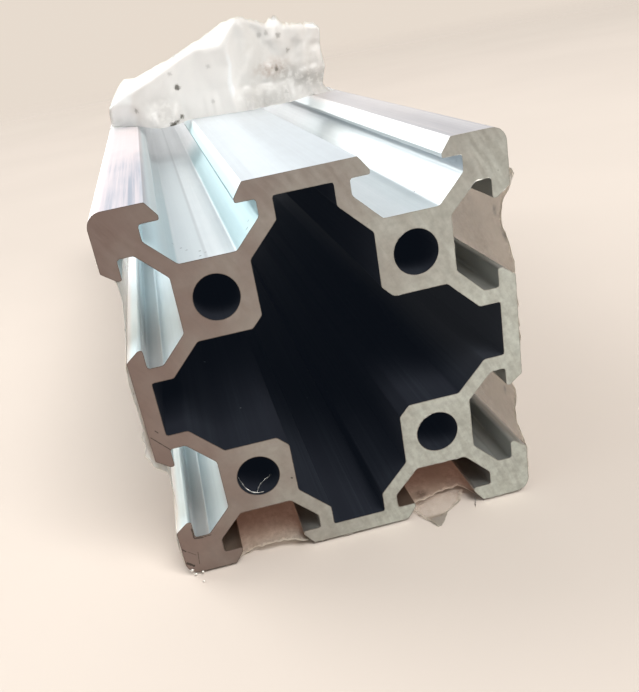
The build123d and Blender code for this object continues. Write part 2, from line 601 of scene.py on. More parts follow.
@dataclass(frozen=True)
class ProfileFinish(Finish):
    """Clear anodised sides and bare sawn ends, with painted reflections and shade near the cut end, and
    hollows in painted shade with a faint painted glow.
    """

    name: str = "anodised_and_sawn_aluminium"
    land_light: Colour = (0.81, 0.86, 0.89)
    land_dark: Colour = (0.71, 0.75, 0.78)
    side_land_tint: Colour = (1.04, 0.985, 0.95)
    slot_light: Colour = (0.78, 0.82, 0.83)
    slot_dark: Colour = (0.66, 0.71, 0.73)
    plain_light: Colour = (0.79, 0.80, 0.81)
    plain_dark: Colour = (0.67, 0.68, 0.69)
    # Where the painted reflections and shade near the cut end fade out to the plain colour behind
    seen: Point = (14.0, -12.0)
    # Painted reflections on the top lands near the cut end: rosy on the left, warm on the right
    rose_painted_reflection: Colour = (1.05, 0.87, 0.84)
    right_painted_reflection: Colour = (0.975, 0.865, 0.825)
    # Painted shade: blue-grey on the top lands near the sawn end, mostly on the left
    blue_painted_shade: Colour = (0.50, 0.51, 0.58)
    # Painted light: the left slots' walls, lit cooler and brighter
    cool_painted_light: Colour = (1.08, 1.16, 1.19)
    # Painted cool shade on the top slot walls just left of the middle
    web_painted_shade: Colour = (0.58, 0.72, 0.74)
    floor_tint: Colour = (1.04, 1.03, 1.03)
    # Painted shadow under the right land's lip, in the top right slot
    lip_painted_shadow: Colour = (0.62, 0.64, 0.68)
    shade_tint: Colour = (0.69, 0.66, 0.62)
    # Painted shade on the bottom slots' walls near the cut end
    low_painted_shade: Colour = (0.76, 0.57, 0.47)
    # Painted shade on a wall of the lower left slot near the cut end
    trough_painted_shade: Colour = (0.74, 0.66, 0.64)
    side_roughness: float = 0.44
    # Painted reflection and shade on the sawn face: warm and dark to the left, pale to the right, paler
    # towards the bottom, wavering with soft blotches
    sawn_painted_warm: Colour = (0.241, 0.184, 0.165)
    sawn_painted_pale: Colour = (0.55, 0.585, 0.545)
    sawn_rise: float = -0.40
    sawn_twist: float = -0.022
    sawn_waver: Point = (6.0, -3.0)
    sawn_span: Point = (-22.4, 17.8)
    sawn_roughness: float = 0.5
    specular_level: float = 0.15
    bump_depth: float = 0.010
    bump_strength: float = 0.3
    mark: Colour = (0.05, 0.045, 0.04)
    # Painted shade: the hollows are near black, and the die lines show in them as faint painted gleams
    hollow_painted_shade: Colour = (0.008, 0.009, 0.013)
    hollow_painted_gleam: Colour = (0.014, 0.017, 0.022)
    hollow_dust: Colour = (0.16, 0.17, 0.18)
    hollow_roughness: float = 0.88
    # Painted glow: the hollows give off a faint light, stronger on the right
    hollow_painted_glow: Colour = (0.0032, 0.0044, 0.0070)
    hollow_painted_glow_right: Colour = (0.0095, 0.0105, 0.0125)
    pit_colour: Colour = (0.10, 0.11, 0.12)
    die_line_colour: Colour = (0.30, 0.32, 0.33)

    # Specks: their spacing, their radius, and the share of places that hold one
    sawn_specks: Place = (1.7, 0.07, 0.35)
    stray_pits: Place = (5.0, 0.12, 0.3)
    hollow_specks: Place = (3.4, 0.11, 0.3)

    # Where a tint starts and where it is full
    glow_starts: Point = (12.8, 16.0)
    land_starts: Point = (19.1, 19.9)
    outer_land_starts: Point = (13.5, 15.0)
    top_starts: Point = (16.5, 18.5)
    blue_spread: float = 24.0
    blue_ends: Point = (-22.0, -54.0)
    blue_side_ends: Point = (19.0, 17.8)
    blue_on_right: float = 0.25
    wall_starts: Point = (13.6, 14.6)
    shade_ends: Point = (-30.0, -62.0)
    web_starts: Point = (-7.9, -7.3)
    lip_rises: Point = (16.0, 17.4)
    lip_ends: Point = (18.7, 18.3)
    lip_starts: Point = (14.0, 15.2)
    low_ends: Point = (12.9, 12.6)
    trough_sides: tuple[Point, Point] = ((-18.4, -18.3), (-16.5, -16.7))
    trough_top: Point = (6.6, 6.4)
    trough_ends: Point = (-46.0, -70.0)

    # The edges of the section that tell the hollows and the slots' floors
    land_edge: float = 18.7
    arm_edge: float = 3.7
    core_edge: float = 6.6
    web_edge: float = 20.0
    bore_edge: float = 3.0
    die_line_place: float = -10.1
    floor_height: float = 13.9
    floor_reach: float = 0.2

    # The sawn face: the middle of the blade's arcs, and marks by their two ends and their width: scratch
    # lines and painted burr shadows
    blade_centre: Point = (-190.0, -95.0)
    scratches_and_burr_shadows: tuple[tuple[Point, Point, float], ...] = (
        ((-19.77, -2.72), (-18.11, -4.63), 0.06), ((-19.16, -2.09), (-18.93, -2.39), 0.06),
        # Along the lower left slot's edge, the L-shaped line on these two lines is painted shadow under the
        # burrs
        ((-18.95, -13.25), (-18.40, -13.25), 0.10), ((-18.33, -14.35), (-18.33, -15.45), 0.11),
        ((-18.3, -15.62), (-17.4, -15.72), 0.11), ((-17.2, -15.68), (-16.5, -15.66), 0.06),
        ((-19.9, -16.6), (-19.6, -16.95), 0.09), ((-18.36, -17.42), (-18.53, -18.94), 0.04),
        ((-19.38, -17.07), (-18.64, -17.7), 0.04), ((-19.8, -18.45), (-19.2, -18.98), 0.17),
        ((-6.62, -11.15), (-6.52, -11.25), 0.12),
    )

    # Pits in the top slots, within a span of heights above the floor: x, set-back from the cut end, radius
    pit_heights: Point = (-0.1, 3.5)
    pit_rim: Point = (-0.05, 0.05)
    pits: tuple[Place, ...] = (
        (-12.9, 8.5, 0.10), (-12.2, 6.3, 0.12), (-11.7, 4.9, 0.13), (-10.5, 3.3, 0.14), (-10.6, 1.3, 0.12),
        (-10.0, 2.3, 0.10), (-5.7, 1.6, 0.15), (-5.3, 3.0, 0.12), (12.9, 8.2, 0.11), (13.2, 2.2, 0.11),
        (13.5, 1.8, 0.12),
    )

    def hollow(self, graph: Graph, x: object, z: object) -> Socket:
        """Return a mask of the centre cavity and the bores, from the distances to the two middle lines."""
        low, high = graph.math("MINIMUM", x, z), graph.math("MAXIMUM", x, z)
        under_land = graph.math("LESS_THAN", high, self.land_edge)
        arms = graph.math("LESS_THAN", low, self.arm_edge)
        both = graph.math("ADD", x, z)
        beside_blocks = graph.math("LESS_THAN", low, self.core_edge)
        core = graph.times(beside_blocks, graph.math("LESS_THAN", both, self.web_edge))
        core = graph.math("MAXIMUM", core, graph.math("LESS_THAN", both, 2.0 * self.core_edge + 1.0))
        slot_place = HALF_WIDTH / 2
        bore = graph.vector("DISTANCE", graph.join(x, z, 0.0), (slot_place, slot_place, 0.0))
        cavity = graph.times(under_land, graph.math("MAXIMUM", arms, core))
        return graph.math("MAXIMUM", cavity, graph.math("LESS_THAN", bore, self.bore_edge))

    def sawn_colour(self, graph: Graph, point: object) -> tuple[Socket, Socket]:
        """Return the sawn face's colour and its height: a painted reflection and shade, warm and dark on the
        left and pale on the right, wavering with soft blotches, blade arcs, and the marks along the lips,
        some of them painted burr shadows.
        """
        x, y, z = graph.split(point)
        flat = graph.join(x, 0.0, z)
        stains = graph.place("blotches", Point=flat, Size=5.0)
        lean = graph.linear(z, self.sawn_rise, x)
        lean = graph.linear(graph.times(x, z), self.sawn_twist, lean)
        lean = graph.math("ADD", lean, graph.linear(stains.outputs["Stain"], *self.sawn_waver))
        share = graph.remap(lean, *self.sawn_span)
        base = graph.mix(share, self.sawn_painted_warm, self.sawn_painted_pale)
        from_blade = graph.vector("DISTANCE", flat, (self.blade_centre[0], 0.0, self.blade_centre[1]))
        arcs = graph.noise(graph.join(from_blade, graph.times(z, 0.16), 0.0), 1.6, 3.0, 0.6)
        lines = graph.remap(arcs, 0.36, 0.64)
        depth = graph.linear(share, 1.1, 0.2)
        mottled = graph.linear(lines, 0.4, graph.times(stains.outputs["Mottle"], 0.6))
        tone = graph.times(graph.math("SUBTRACT", mottled, 0.5), depth)
        toned = graph.scaled(base, graph.linear(tone, 0.3, 1.0))
        masks = []
        for (x0, z0), (x1, z1), width in self.scratches_and_burr_shadows:
            stroke = graph.place("stroke", Point=flat, From=(x0, 0.0, z0), To=(x1, 0.0, z1), Width=width)
            masks.append(stroke.outputs[0])
        marked = graph.times(graph.greatest(masks), graph.math("LESS_THAN", y, 0.0))
        marked = graph.math("MAXIMUM", marked, graph.times(graph.specks(flat, *self.sawn_specks), 0.4))
        return graph.mix(graph.times(marked, 0.85), toned, self.mark), lines

    def land_colour(self, at: SidePoint) -> Socket:
        """Return the outer lands' colour: rosy and warm painted reflections beside the slots, blue-grey
        painted shade near the sawn end on the left.
        """
        graph = at.graph
        land = graph.mix(at.wear, self.land_dark, self.land_light)
        near = graph.linear(at.stains.outputs["Stain"], self.blue_spread, at.y)
        near = graph.remap(near, *self.blue_ends)
        lined = graph.linear(at.streaks.outputs["Line"], -0.7, 1.0)
        to_left = graph.remap(at.left, -1.0, 1.0)
        side = graph.blend(to_left, self.blue_on_right, 1.0)
        near = graph.all_of([near, lined, graph.remap(at.left, *self.blue_side_ends), side])
        tint = graph.mix(near, graph.mix(to_left, self.right_painted_reflection, self.rose_painted_reflection), self.blue_painted_shade)
        tint = graph.mix(graph.remap(at.z, *self.top_starts), self.side_land_tint, tint)
        return graph.tinted(graph.remap(at.across, *self.outer_land_starts), land, tint)

    def slot_colour(self, at: SidePoint) -> Socket:
        """Return the slots' colour: a tint for each wall that the photograph shows in a light of its own."""
        graph = at.graph
        slot = graph.mix(at.wear, self.slot_dark, self.slot_light)
        slot = graph.tinted(graph.remap(at.left, *self.wall_starts), slot, self.cool_painted_light)
        near_end = graph.remap(at.y, *self.shade_ends)
        away = graph.math("MAXIMUM", at.x, at.down)
        here = graph.math("GREATER_THAN", away, graph.math("MAXIMUM", at.left, at.z))
        away = graph.all_of([graph.remap(away, *self.wall_starts), here, near_end])
        slot = graph.tinted(away, slot, self.shade_tint)

        above_floor = graph.math("SUBTRACT", at.z, self.floor_height)
        on_floor = self.on_floor(graph, above_floor)
        beside = graph.remap(at.x, self.die_line_place, self.die_line_place - 0.5)
        beside = graph.all_of([on_floor, beside])
        slot = graph.mix(graph.times(beside, 0.55), slot, self.slot_dark)
        inner = graph.all_of([on_floor, graph.math("LESS_THAN", at.across, -self.die_line_place)])
        slot = graph.tinted(inner, slot, self.floor_tint)
        above = graph.remap(above_floor, 0.0, 0.1)
        web = [graph.remap(at.x, *self.web_starts), graph.math("LESS_THAN", at.x, 0.0), above]
        slot = graph.tinted(graph.all_of(web), slot, self.web_painted_shade)
        lip = [graph.remap(at.z, *self.lip_rises), graph.remap(at.z, *self.lip_ends)]
        slot = graph.tinted(graph.all_of([*lip, graph.remap(at.x, *self.lip_starts)]), slot, self.lip_painted_shadow)

        across_slot = graph.math("FLOORED_MODULO", at.x, HALF_WIDTH)
        up_slot = graph.math("FLOORED_MODULO", at.z, HALF_WIDTH)
        low = [graph.math("GREATER_THAN", at.down, at.across), near_end]
        low.append(graph.remap(across_slot, *self.low_ends))
        slot = graph.tinted(graph.all_of(low), slot, self.low_painted_shade)
        trough = [graph.remap(at.x, *span) for span in self.trough_sides]
        trough += [graph.remap(up_slot, *self.trough_top), graph.remap(at.y, *self.trough_ends)]
        return graph.tinted(graph.all_of(trough), slot, self.trough_painted_shade)

    def on_floor(self, graph: Graph, above_floor: Socket) -> Socket:
        """Return the mask of the top slots' floors, from the height above them."""
        return graph.math("LESS_THAN", graph.math("ABSOLUTE", above_floor), self.floor_reach)

    def sunken(self, at: SidePoint) -> tuple[Socket, Socket]:
        """Return the mask of the pits and that of the die line, which are sunk into the top slots.

        A pit is round: its mask is its radius less the distance to its middle, in plan, with an uneven rim.

        Args:
            at: the shaded point.

        Returns:
            The pits, those listed with faint scattered ones, and the die line.
        """
        graph = at.graph
        above_floor = graph.math("SUBTRACT", at.z, self.floor_height)
        line = graph.math("ABSOLUTE", graph.math("SUBTRACT", at.x, self.die_line_place))
        strength = graph.remap(at.streaks.outputs["Band"], 0.0, 0.5, 0.2, 0.5)
        line = graph.all_of([graph.remap(line, 0.3, 0.0), self.on_floor(graph, above_floor), strength])

        setback = graph.math("ADD", at.y, HALF_LENGTH)
        wobble = graph.linear(graph.noise(at.point, 3.0, 2.0, 0.6), 0.2, -0.1)
        plan = graph.join(at.x, setback, 0.0)
        holes = graph.dots(plan, wobble, tuple((*pit, 1.0) for pit in self.pits), self.pit_rim)
        lowest, highest = self.pit_heights
        over = graph.math("GREATER_THAN", above_floor, lowest)
        placed = graph.all_of([holes, over, graph.math("LESS_THAN", above_floor, highest)])
        stray = graph.times(graph.specks(at.point, *self.stray_pits), 0.45)
        return graph.math("MAXIMUM", placed, stray), line

    def side_colour(self, at: SidePoint) -> tuple[Socket, Socket]:
        """Return the anodised sides' colour and the mask of what is sunk into them.

        Args:
            at: the shaded point.

        Returns:
            The colour, with painted reflections and shade near the cut end, which turns plain behind the
            torn film, and the sunken marks.
        """
        graph = at.graph
        outermost = graph.math("MAXIMUM", at.across, at.up)
        on_land = graph.remap(outermost, *self.land_starts)
        pits, line = self.sunken(at)
        plain = graph.mix(at.wear, self.plain_dark, self.plain_light)
        shown = graph.mix(on_land, self.slot_colour(at), self.land_colour(at))
        colour = graph.mix(graph.remap(at.y, *self.seen), plain, shown)
        colour = graph.mix(graph.times(pits, 0.75), colour, self.pit_colour)
        colour = graph.mix(line, colour, self.die_line_colour)
        return colour, graph.math("MAXIMUM", pits, line)

    def material(self) -> Material:
        """Build the material: three finishes, told apart by the place of the point on the section."""
        graph, shader, material = self.start()
        point = graph.section_point()
        streaks = graph.place("die_streaks", Point=point, Pitch=2.2)
        stains = graph.place("blotches", Point=graph.vector("MULTIPLY", point, (1.0, 0.3, 1.0)), Size=7.0)
        at = SidePoint.read(graph, point, streaks, stains)
        side, sunken = self.side_colour(at)
        sawn = graph.math("GREATER_THAN", graph.math("ABSOLUTE", at.y), HALF_LENGTH - 0.01)
        hollow = self.hollow(graph, at.across, at.up)
        cut, cut_height = self.sawn_colour(graph, point)

        # The hollows: near-black painted shade, faint painted gleams along the die lines, and specks of dust
        gleam = graph.times(streaks.outputs["Band"], streaks.outputs["Line"])
        dark = graph.mix(gleam, self.hollow_painted_shade, self.hollow_painted_gleam)
        dark = graph.mix(graph.specks(point, *self.hollow_specks), dark, self.hollow_dust)

        not_sawn = graph.math("SUBTRACT", 1.0, sawn)
        # Painted glow in the hollows, stronger on the right
        glow = graph.mix(graph.remap(at.x, *self.glow_starts), self.hollow_painted_glow, self.hollow_painted_glow_right)
        rough = graph.linear(at.wear, 0.10, self.side_roughness)
        rough = graph.blend(hollow, rough, self.hollow_roughness)
        cut_rough = graph.linear(cut_height, 0.12, self.sawn_roughness - 0.06)
        graph.fill(
            shader,
            Base_Color=graph.mix(sawn, graph.mix(hollow, side, dark), cut),
            Metallic=graph.math("MAXIMUM", sawn, graph.math("SUBTRACT", 1.0, hollow)),
            Roughness=graph.blend(sawn, rough, cut_rough),
            Specular_IOR_Level=self.specular_level,
            Emission_Color=graph.mix(graph.times(hollow, not_sawn), UNLIT, glow),
            Emission_Strength=1.0,
        )
        height = graph.linear(cut_height, sawn, graph.times(streaks.outputs["Line"], not_sawn))
        height = graph.math("SUBTRACT", height, graph.times(sunken, 2.0))
        self.bump(graph, shader, height, self.bump_depth, self.bump_strength)
        return material


@dataclass(frozen=True)
class FilmPoint:
    """What the film's looks are worked out from, at the shaded point."""

    graph: Graph
    point: Socket
    stains: Node
    x: Socket
    y: Socket
    z: Socket
    edge: Socket
    folds: Socket
    soil_and_darkening: Socket

    @classmethod
    def read(cls, graph: Graph) -> "FilmPoint":
        """Read the point, its stains and the sheet's attributes.

        Args:
            graph: the material's graph.

        Returns:
            The values.
        """
        point = graph.section_point()
        stains = graph.place("blotches", Point=graph.vector("MULTIPLY", point, (1.0, 0.55, 1.0)), Size=4.5)
        attributes = (
            graph.add("ShaderNodeAttribute", attribute_name=name).outputs["Fac"]
            for name in ("edge_distance", "folds", "soil_and_darkening")
        )
        return cls(graph, point, stains, *graph.split(point), *attributes)


@dataclass(frozen=True)
class FilmFinish(Finish):
    """Thin clear stretch film: see-through where it lies flat, milky where it is crumpled or torn."""

    name: str = "clear_packing_film"
    # Painted shade: the flat film near the cut end is darkened and browned, with the warm colour of what
    # shows through it painted in
    clear: Colour = (0.62, 0.525, 0.43)
    far_clear: Colour = (0.80, 0.80, 0.78)
    clears: Point = (-64.0, 10.0)
    clears_left: Point = (-58.0, -35.0)
    left_side: Point = (-16.0, -19.5)
    under_side: Point = (-18.4, -19.2)
    glow_starts: Point = (-74.5, -71.0)
    # Painted glow: the film under the bottom near the cut end glows faintly, as if lit from beneath
    low_painted_glow: Colour = (0.055, 0.030, 0.022)
    milky: Colour = (0.91, 0.88, 0.845)
    # folded: whiter film where it folds over itself; on the flap's ridge and bent-back band it is also a
    # painted highlight
    folded: Colour = (0.96, 0.955, 0.94)
    torn: Colour = (0.84, 0.78, 0.68)
    # dirt: also the colour of the flap's darker patches
    dirt: Colour = (0.13, 0.12, 0.095)
    stain: Colour = (0.50, 0.39, 0.32)
    flat_alpha: float = 0.6
    passed: float = 0.7
    bending: float = 1.4
    roughness: float = 0.34
    far_roughness: float = 0.22

    # Specks of dirt on the flap: x, z, radius and strength; the stain: x, z and reach
    dirt_spots: tuple[Spot, ...] = (
        (-6.73, 25.17, 0.42, 0.9), (-7.41, 27.29, 0.3, 0.3), (-1.3, 27.32, 0.3, 0.3),
        (-14.08, 22.53, 0.34, 0.6), (-10.63, 21.47, 0.28, 0.4), (-11.76, 21.38, 0.24, 0.35),
        (-8.69, 19.94, 0.55, 1.0), (-7.9, 20.25, 0.26, 0.9), (-6.99, 20.75, 0.34, 0.9),
        (-1.65, 22.19, 0.26, 0.3), (7.59, 30.32, 0.42, 0.28), (8.71, 30.36, 0.36, 0.32),
        (10.56, 29.8, 0.36, 0.45), (10.26, 32.3, 0.4, 0.3), (11.92, 27.37, 0.32, 0.55),
        (9.44, 24.99, 0.36, 0.75), (10.31, 21.43, 0.36, 0.5), (5.26, 23.18, 0.5, 0.2),
        (-6.03, 29.62, 0.26, 0.3),
    )
    brown_stain: Place = (8.8, 25.2, 4.6)

    # Specks: their spacing, their radius, and the share of places that hold one
    grit: Place = (3.4, 0.13, 0.22)
    crumbs: Place = (1.1, 0.2, 0.5)
    spot_rim: Point = (-0.16, 0.2)

    def opacity(self, at: FilmPoint, torn: Socket, cloudy: Socket, far: Socket) -> Socket:
        """Return the alpha: whole where the film is folded, thin where it lies flat, thinnest far back.

        Args:
            at: the shaded point.
            torn: the mask of the torn edges.
            cloudy: the mask of the clouded places.
            far: the mask of the far part.

        Returns:
            The alpha.
        """
        graph = at.graph
        thin = graph.remap(at.folds, -1.0, 0.0, 0.2 * self.flat_alpha, self.flat_alpha)
        thin = graph.times(thin, graph.linear(far, -0.35, 1.0))
        alpha = graph.blend(graph.remap(at.folds, 0.0, 0.6), thin, 1.0)
        alpha = graph.linear(cloudy, graph.blend(far, 0.2, 0.1), alpha)
        return graph.math("MINIMUM", graph.linear(torn, 0.4, alpha), 1.0)

    def clean_colour(self, at: FilmPoint, torn: Socket, far: Socket, whitened: Socket) -> Socket:
        """Return the colour without its dirt: clear, milky, folded or torn film, and the brown stain.

        Args:
            at: the shaded point.
            torn: the mask of the torn edges.
            far: the mask of the far part.
            whitened: the mask of the milky places.

        Returns:
            The colour.
        """
        graph = at.graph
        colour = graph.mix(whitened, graph.mix(far, self.clear, self.far_clear), self.milky)
        colour = graph.mix(graph.remap(at.folds, 0.8, 0.95), colour, self.folded)
        colour = graph.mix(graph.times(torn, 0.8), colour, self.torn)
        stain_x, stain_z, reach = self.brown_stain
        flat = graph.join(at.x, graph.times(at.z, 2.0), 0.0)
        brown = graph.vector("DISTANCE", flat, (stain_x, 2.0 * stain_z, 0.0))
        brown = graph.remap(brown, reach, 0.4, 0.0, 0.85)
        above = graph.math("GREATER_THAN", at.z, HALF_WIDTH + 0.5)
        brown = graph.all_of([brown, above, at.stains.outputs["Mottle"]])
        return graph.mix(brown, colour, self.stain)

    def dirt_and_darkening_mask(self, at: FilmPoint) -> Socket:
        """Return the mask of the dirt and the darker places: the flap's specks, grit, crumbs at one edge,
        soiled places and the flap's darker patches.
        """
        graph = at.graph
        wobble = graph.linear(graph.noise(at.point, 2.6, 3.0, 0.7), 1.3, -0.65)
        spots = graph.dots(graph.join(at.x, at.z, 0.0), wobble, self.dirt_spots, self.spot_rim)
        spots = graph.times(spots, graph.math("GREATER_THAN", at.z, HALF_WIDTH - 0.5))
        grit = graph.times(graph.specks(at.point, *self.grit), 0.3)
        at_edge = [graph.remap(at.x, -18.0, -18.6), graph.remap(at.y, -71.5, -73.5, 0.0, 0.8)]
        crumbs = graph.all_of([graph.specks(at.point, *self.crumbs), *at_edge])
        uneven = graph.remap(at.stains.outputs["Mottle"], 0.1, 0.6, 0.45, 1.0)
        return graph.greatest([spots, grit, crumbs, graph.times(at.soil_and_darkening, uneven)])

    def material(self) -> Material:
        """Build the material from the sheet's attributes: torn edges, folds, which give the flap's ridge and
        band a painted highlight, soiled places and the flap's darker patches; a painted glow lights the film
        under the bottom near the cut end.
        """
        graph, shader, material = self.start()
        at = FilmPoint.read(graph)
        mottle = at.stains.outputs["Mottle"]
        torn = graph.remap(at.edge, 0.0, graph.linear(mottle, 0.7, 0.3), 1.0, 0.0)
        cloudy = graph.times(at.stains.outputs["Stain"], mottle)
        far = graph.times(graph.remap(at.y, *self.clears_left), graph.remap(at.x, *self.left_side))
        far = graph.math("MAXIMUM", graph.remap(at.y, *self.clears), far)
        whitened = graph.math("MAXIMUM", graph.remap(at.folds, 0.0, 0.85), graph.times(cloudy, 0.35))
        colour = graph.mix(self.dirt_and_darkening_mask(at), self.clean_colour(at, torn, far, whitened), self.dirt)
        # Painted glow on the film under the bottom near the cut end
        beneath = graph.times(graph.remap(at.z, *self.under_side), graph.remap(at.y, *self.glow_starts))
        graph.fill(
            shader,
            Base_Color=colour,
            Alpha=self.opacity(at, torn, cloudy, far),
            Roughness=graph.linear(whitened, 0.2, graph.blend(far, self.roughness, self.far_roughness)),
            Transmission_Weight=self.passed,
            IOR=self.bending,
            Emission_Color=graph.mix(beneath, UNLIT, self.low_painted_glow),
            Emission_Strength=1.0,
        )
        self.bump(graph, shader, at.stains.outputs["Stain"], 0.2, 0.35)
        return material


@dataclass(frozen=True)
class BareMetalFinish(Finish):
    """Torn aluminium, of the burrs, the crumbs and the swarf."""

    name: str = "bare_torn_aluminium"
    light: Colour = (0.50, 0.50, 0.46)
    dark: Colour = (0.32, 0.31, 0.28)
    # Painted shade: darker and warmer towards the left, as on the sawn face
    left_painted_shade: Colour = (0.36, 0.29, 0.27)
    roughness: float = 0.5

    def material(self) -> Material:
        """Build the material: bright metal with fine dull patches, darker and warmer towards the left side
        as painted shade.
        """
        graph, shader, material = self.start()
        point = graph.section_point()
        stains = graph.place("blotches", Point=point, Size=0.9)
        colour = graph.mix(stains.outputs["Mottle"], self.dark, self.light)
        dull = graph.mix(graph.remap(graph.split(point)[0], 18.0, -16.0), (1.0, 1.0, 1.0), self.left_painted_shade)
        graph.fill(
            shader,
            Base_Color=graph.vector("MULTIPLY", colour, dull),
            Metallic=graph.linear(stains.outputs["Stain"], 0.3, 0.7),
            Roughness=graph.linear(stains.outputs["Mottle"], 0.2, self.roughness - 0.1),
        )
        self.bump(graph, shader, stains.outputs["Mottle"], 0.02, 0.4)
        return material


@dataclass(frozen=True)
class FloorFinish(Finish):
    """The plain pale floor."""

    name: str = "pale_floor"
    colour: Colour = (0.52, 0.46, 0.41)
    fades: Point = (350.0, 1300.0)
    roughness: float = 0.9

    def material(self) -> Material:
        """Build the material: one pale colour, barely uneven, that fades into the backdrop."""
        graph, shader, material = self.start()
        point = graph.section_point()
        stains = graph.place("blotches", Point=point, Size=90.0)
        dim = tuple(0.97 * value for value in self.colour)
        x, y, _ = graph.split(point)
        away = graph.vector("LENGTH", graph.join(x, y, 0.0))
        graph.fill(
            shader,
            Base_Color=graph.mix(stains.outputs["Stain"], dim, self.colour),
            Alpha=graph.remap(away, *self.fades, 1.0, 0.0),
            Roughness=self.roughness,
            Specular_IOR_Level=0.0,
        )
        return material


# The packing film


@dataclass
class Stations:
    """Stations round the profile, from the middle of the top to the left and on round."""

    half: float
    radius: float
    step: float
    x: Array = field(init=False)
    z: Array = field(init=False)
    normal: Array = field(init=False)
    reach: Array = field(init=False)

    def __post_init__(self) -> None:
        """Lay the stations out.

        The runs of the top, the left, the bottom and the right lie at the half width, and between
        them a quarter circle of the radius turns about (± flat, ± flat), flat being half less radius.
        Each part but the last ends short of its far end, where the next one starts.
        """
        flat, radius = self.flat, self.radius
        count = int(round(2 * flat / self.step))
        run = np.linspace(-flat, flat, count, endpoint=False)
        turn = np.linspace(0.0, math.pi / 2, 7, endpoint=False)
        half_run = np.linspace(0.0, flat, count // 2, endpoint=False)
        level, still, one = np.full_like(half_run, self.half), 0.0 * half_run, np.ones_like(half_run)
        parts = [(-half_run, level, still, one)]
        for quarter, (side_x, side_z) in enumerate(((-1, 0), (0, -1), (1, 0))):
            angle = math.pi / 2 * (1 + quarter) + turn
            centre_x, centre_z = ((-flat, flat), (-flat, -flat), (flat, -flat))[quarter]
            cosine, sine = np.cos(angle), np.sin(angle)
            parts.append((centre_x + radius * cosine, centre_z + radius * sine, cosine, sine))
            ones = np.ones_like(run)
            if side_z == 0:
                parts.append((side_x * self.half * ones, side_x * run, side_x * ones, 0.0 * ones))
            else:
                parts.append((run, -self.half * ones, 0.0 * ones, -ones))
        cosine, sine = np.cos(turn), np.sin(turn)
        parts.append((flat + radius * cosine, flat + radius * sine, cosine, sine))
        parts.append((flat - half_run, level, still, one))
        self.x, self.z, normal_x, normal_z = (np.concatenate([part[k] for part in parts]) for k in range(4))
        self.normal = np.stack([normal_x, 0.0 * normal_x, normal_z], axis=1)
        self.reach = np.concatenate([[0.0], np.cumsum(np.hypot(np.diff(self.x), np.diff(self.z)))])

    @property
    def flat(self) -> float:
        """Half the straight run of a side."""
        return self.half - self.radius

    @property
    def around(self) -> float:
        """The way once round."""
        return 8 * self.flat + 2 * math.pi * self.radius

    def on(self, side: Side) -> Array:
        """Return which stations lie on a side's straight run, as a column."""
        axis, sign = {Side.TOP: (2, 1), Side.LEFT: (0, -1), Side.BOTTOM: (2, -1), Side.RIGHT: (0, 1)}[side]
        return sign * self.normal[:, axis, None] > 0.99

    def at(self, side: Side, place: float) -> float:
        """Return the way along the stations to a place on a side.

        Args:
            side: which side.
            place: x on the top and the bottom, z on the left and the right.

        Returns:
            The way from the middle of the top.
        """
        if side is Side.TOP:
            return -place if place <= 0 else self.around - place
        number = {Side.LEFT: 1, Side.BOTTOM: 2, Side.RIGHT: 3}[side]
        start = (2 * number - 1) * self.flat + number * math.pi / 2 * self.radius
        return start + (self.flat - place if side is Side.LEFT else self.flat + place)

    def profile(self, marks: Marks) -> Array:
        """Return a value at every station, in straight lines between marks of place and value."""
        pairs = [(self.at(side, place), value) for side, row in marks.items() for place, value in row]
        ways, values = np.array(sorted(pairs)).T
        return np.interp(self.reach, ways, values, period=self.around)[:, None]


@dataclass(frozen=True)
class Creases:
    """Straight creases over a sheet with the coordinates u and v.

    The sizes are ranges: where the creases' middles lie in u and in v, their half lengths, their half
    widths and their ridges' heights. They run along v and lean from it by an angle with a spread.
    """

    across: Point
    along: Point
    count: int
    lean: float
    lengths: Point
    widths: Point
    heights: Point

    def over(self, rng: Rng, u: Array, v: Array) -> Array:
        """Return the height of all the creases.

        Each crease's height falls off in a straight line with the distance across it, so that it has a
        sharp ridge and flat flanks, and to nothing at its ends: height · (1 − along²)(1 − |across|).

        Args:
            rng: the seeded source of numbers.
            u: each point's first coordinate.
            v: each point's second coordinate.

        Returns:
            The sum of the creases' heights at each point.
        """
        total = np.zeros(np.broadcast(u, v).shape)
        spans = (self.across, self.along)
        middles = np.stack([rng.uniform(*span, self.count) for span in spans], axis=1)
        angles = rng.normal(0.0, self.lean, self.count)
        angles += rng.choice([0.0, 1.2], self.count, p=[0.75, 0.25])
        halves, widths, tops = (
            rng.uniform(*span, self.count) for span in (self.lengths, self.widths, self.heights)
        )
        for (middle_u, middle_v), angle, half, width, height in zip(middles, angles, halves, widths, tops):
            sine, cosine = math.sin(angle), math.cos(angle)
            along = ((u - middle_u) * sine + (v - middle_v) * cosine) / half
            across = ((u - middle_u) * cosine - (v - middle_v) * sine) / width
            total += height * np.clip(1.0 - along**2, 0.0, 1.0) * np.clip(1.0 - np.abs(across), 0.0, 1.0)
        return total


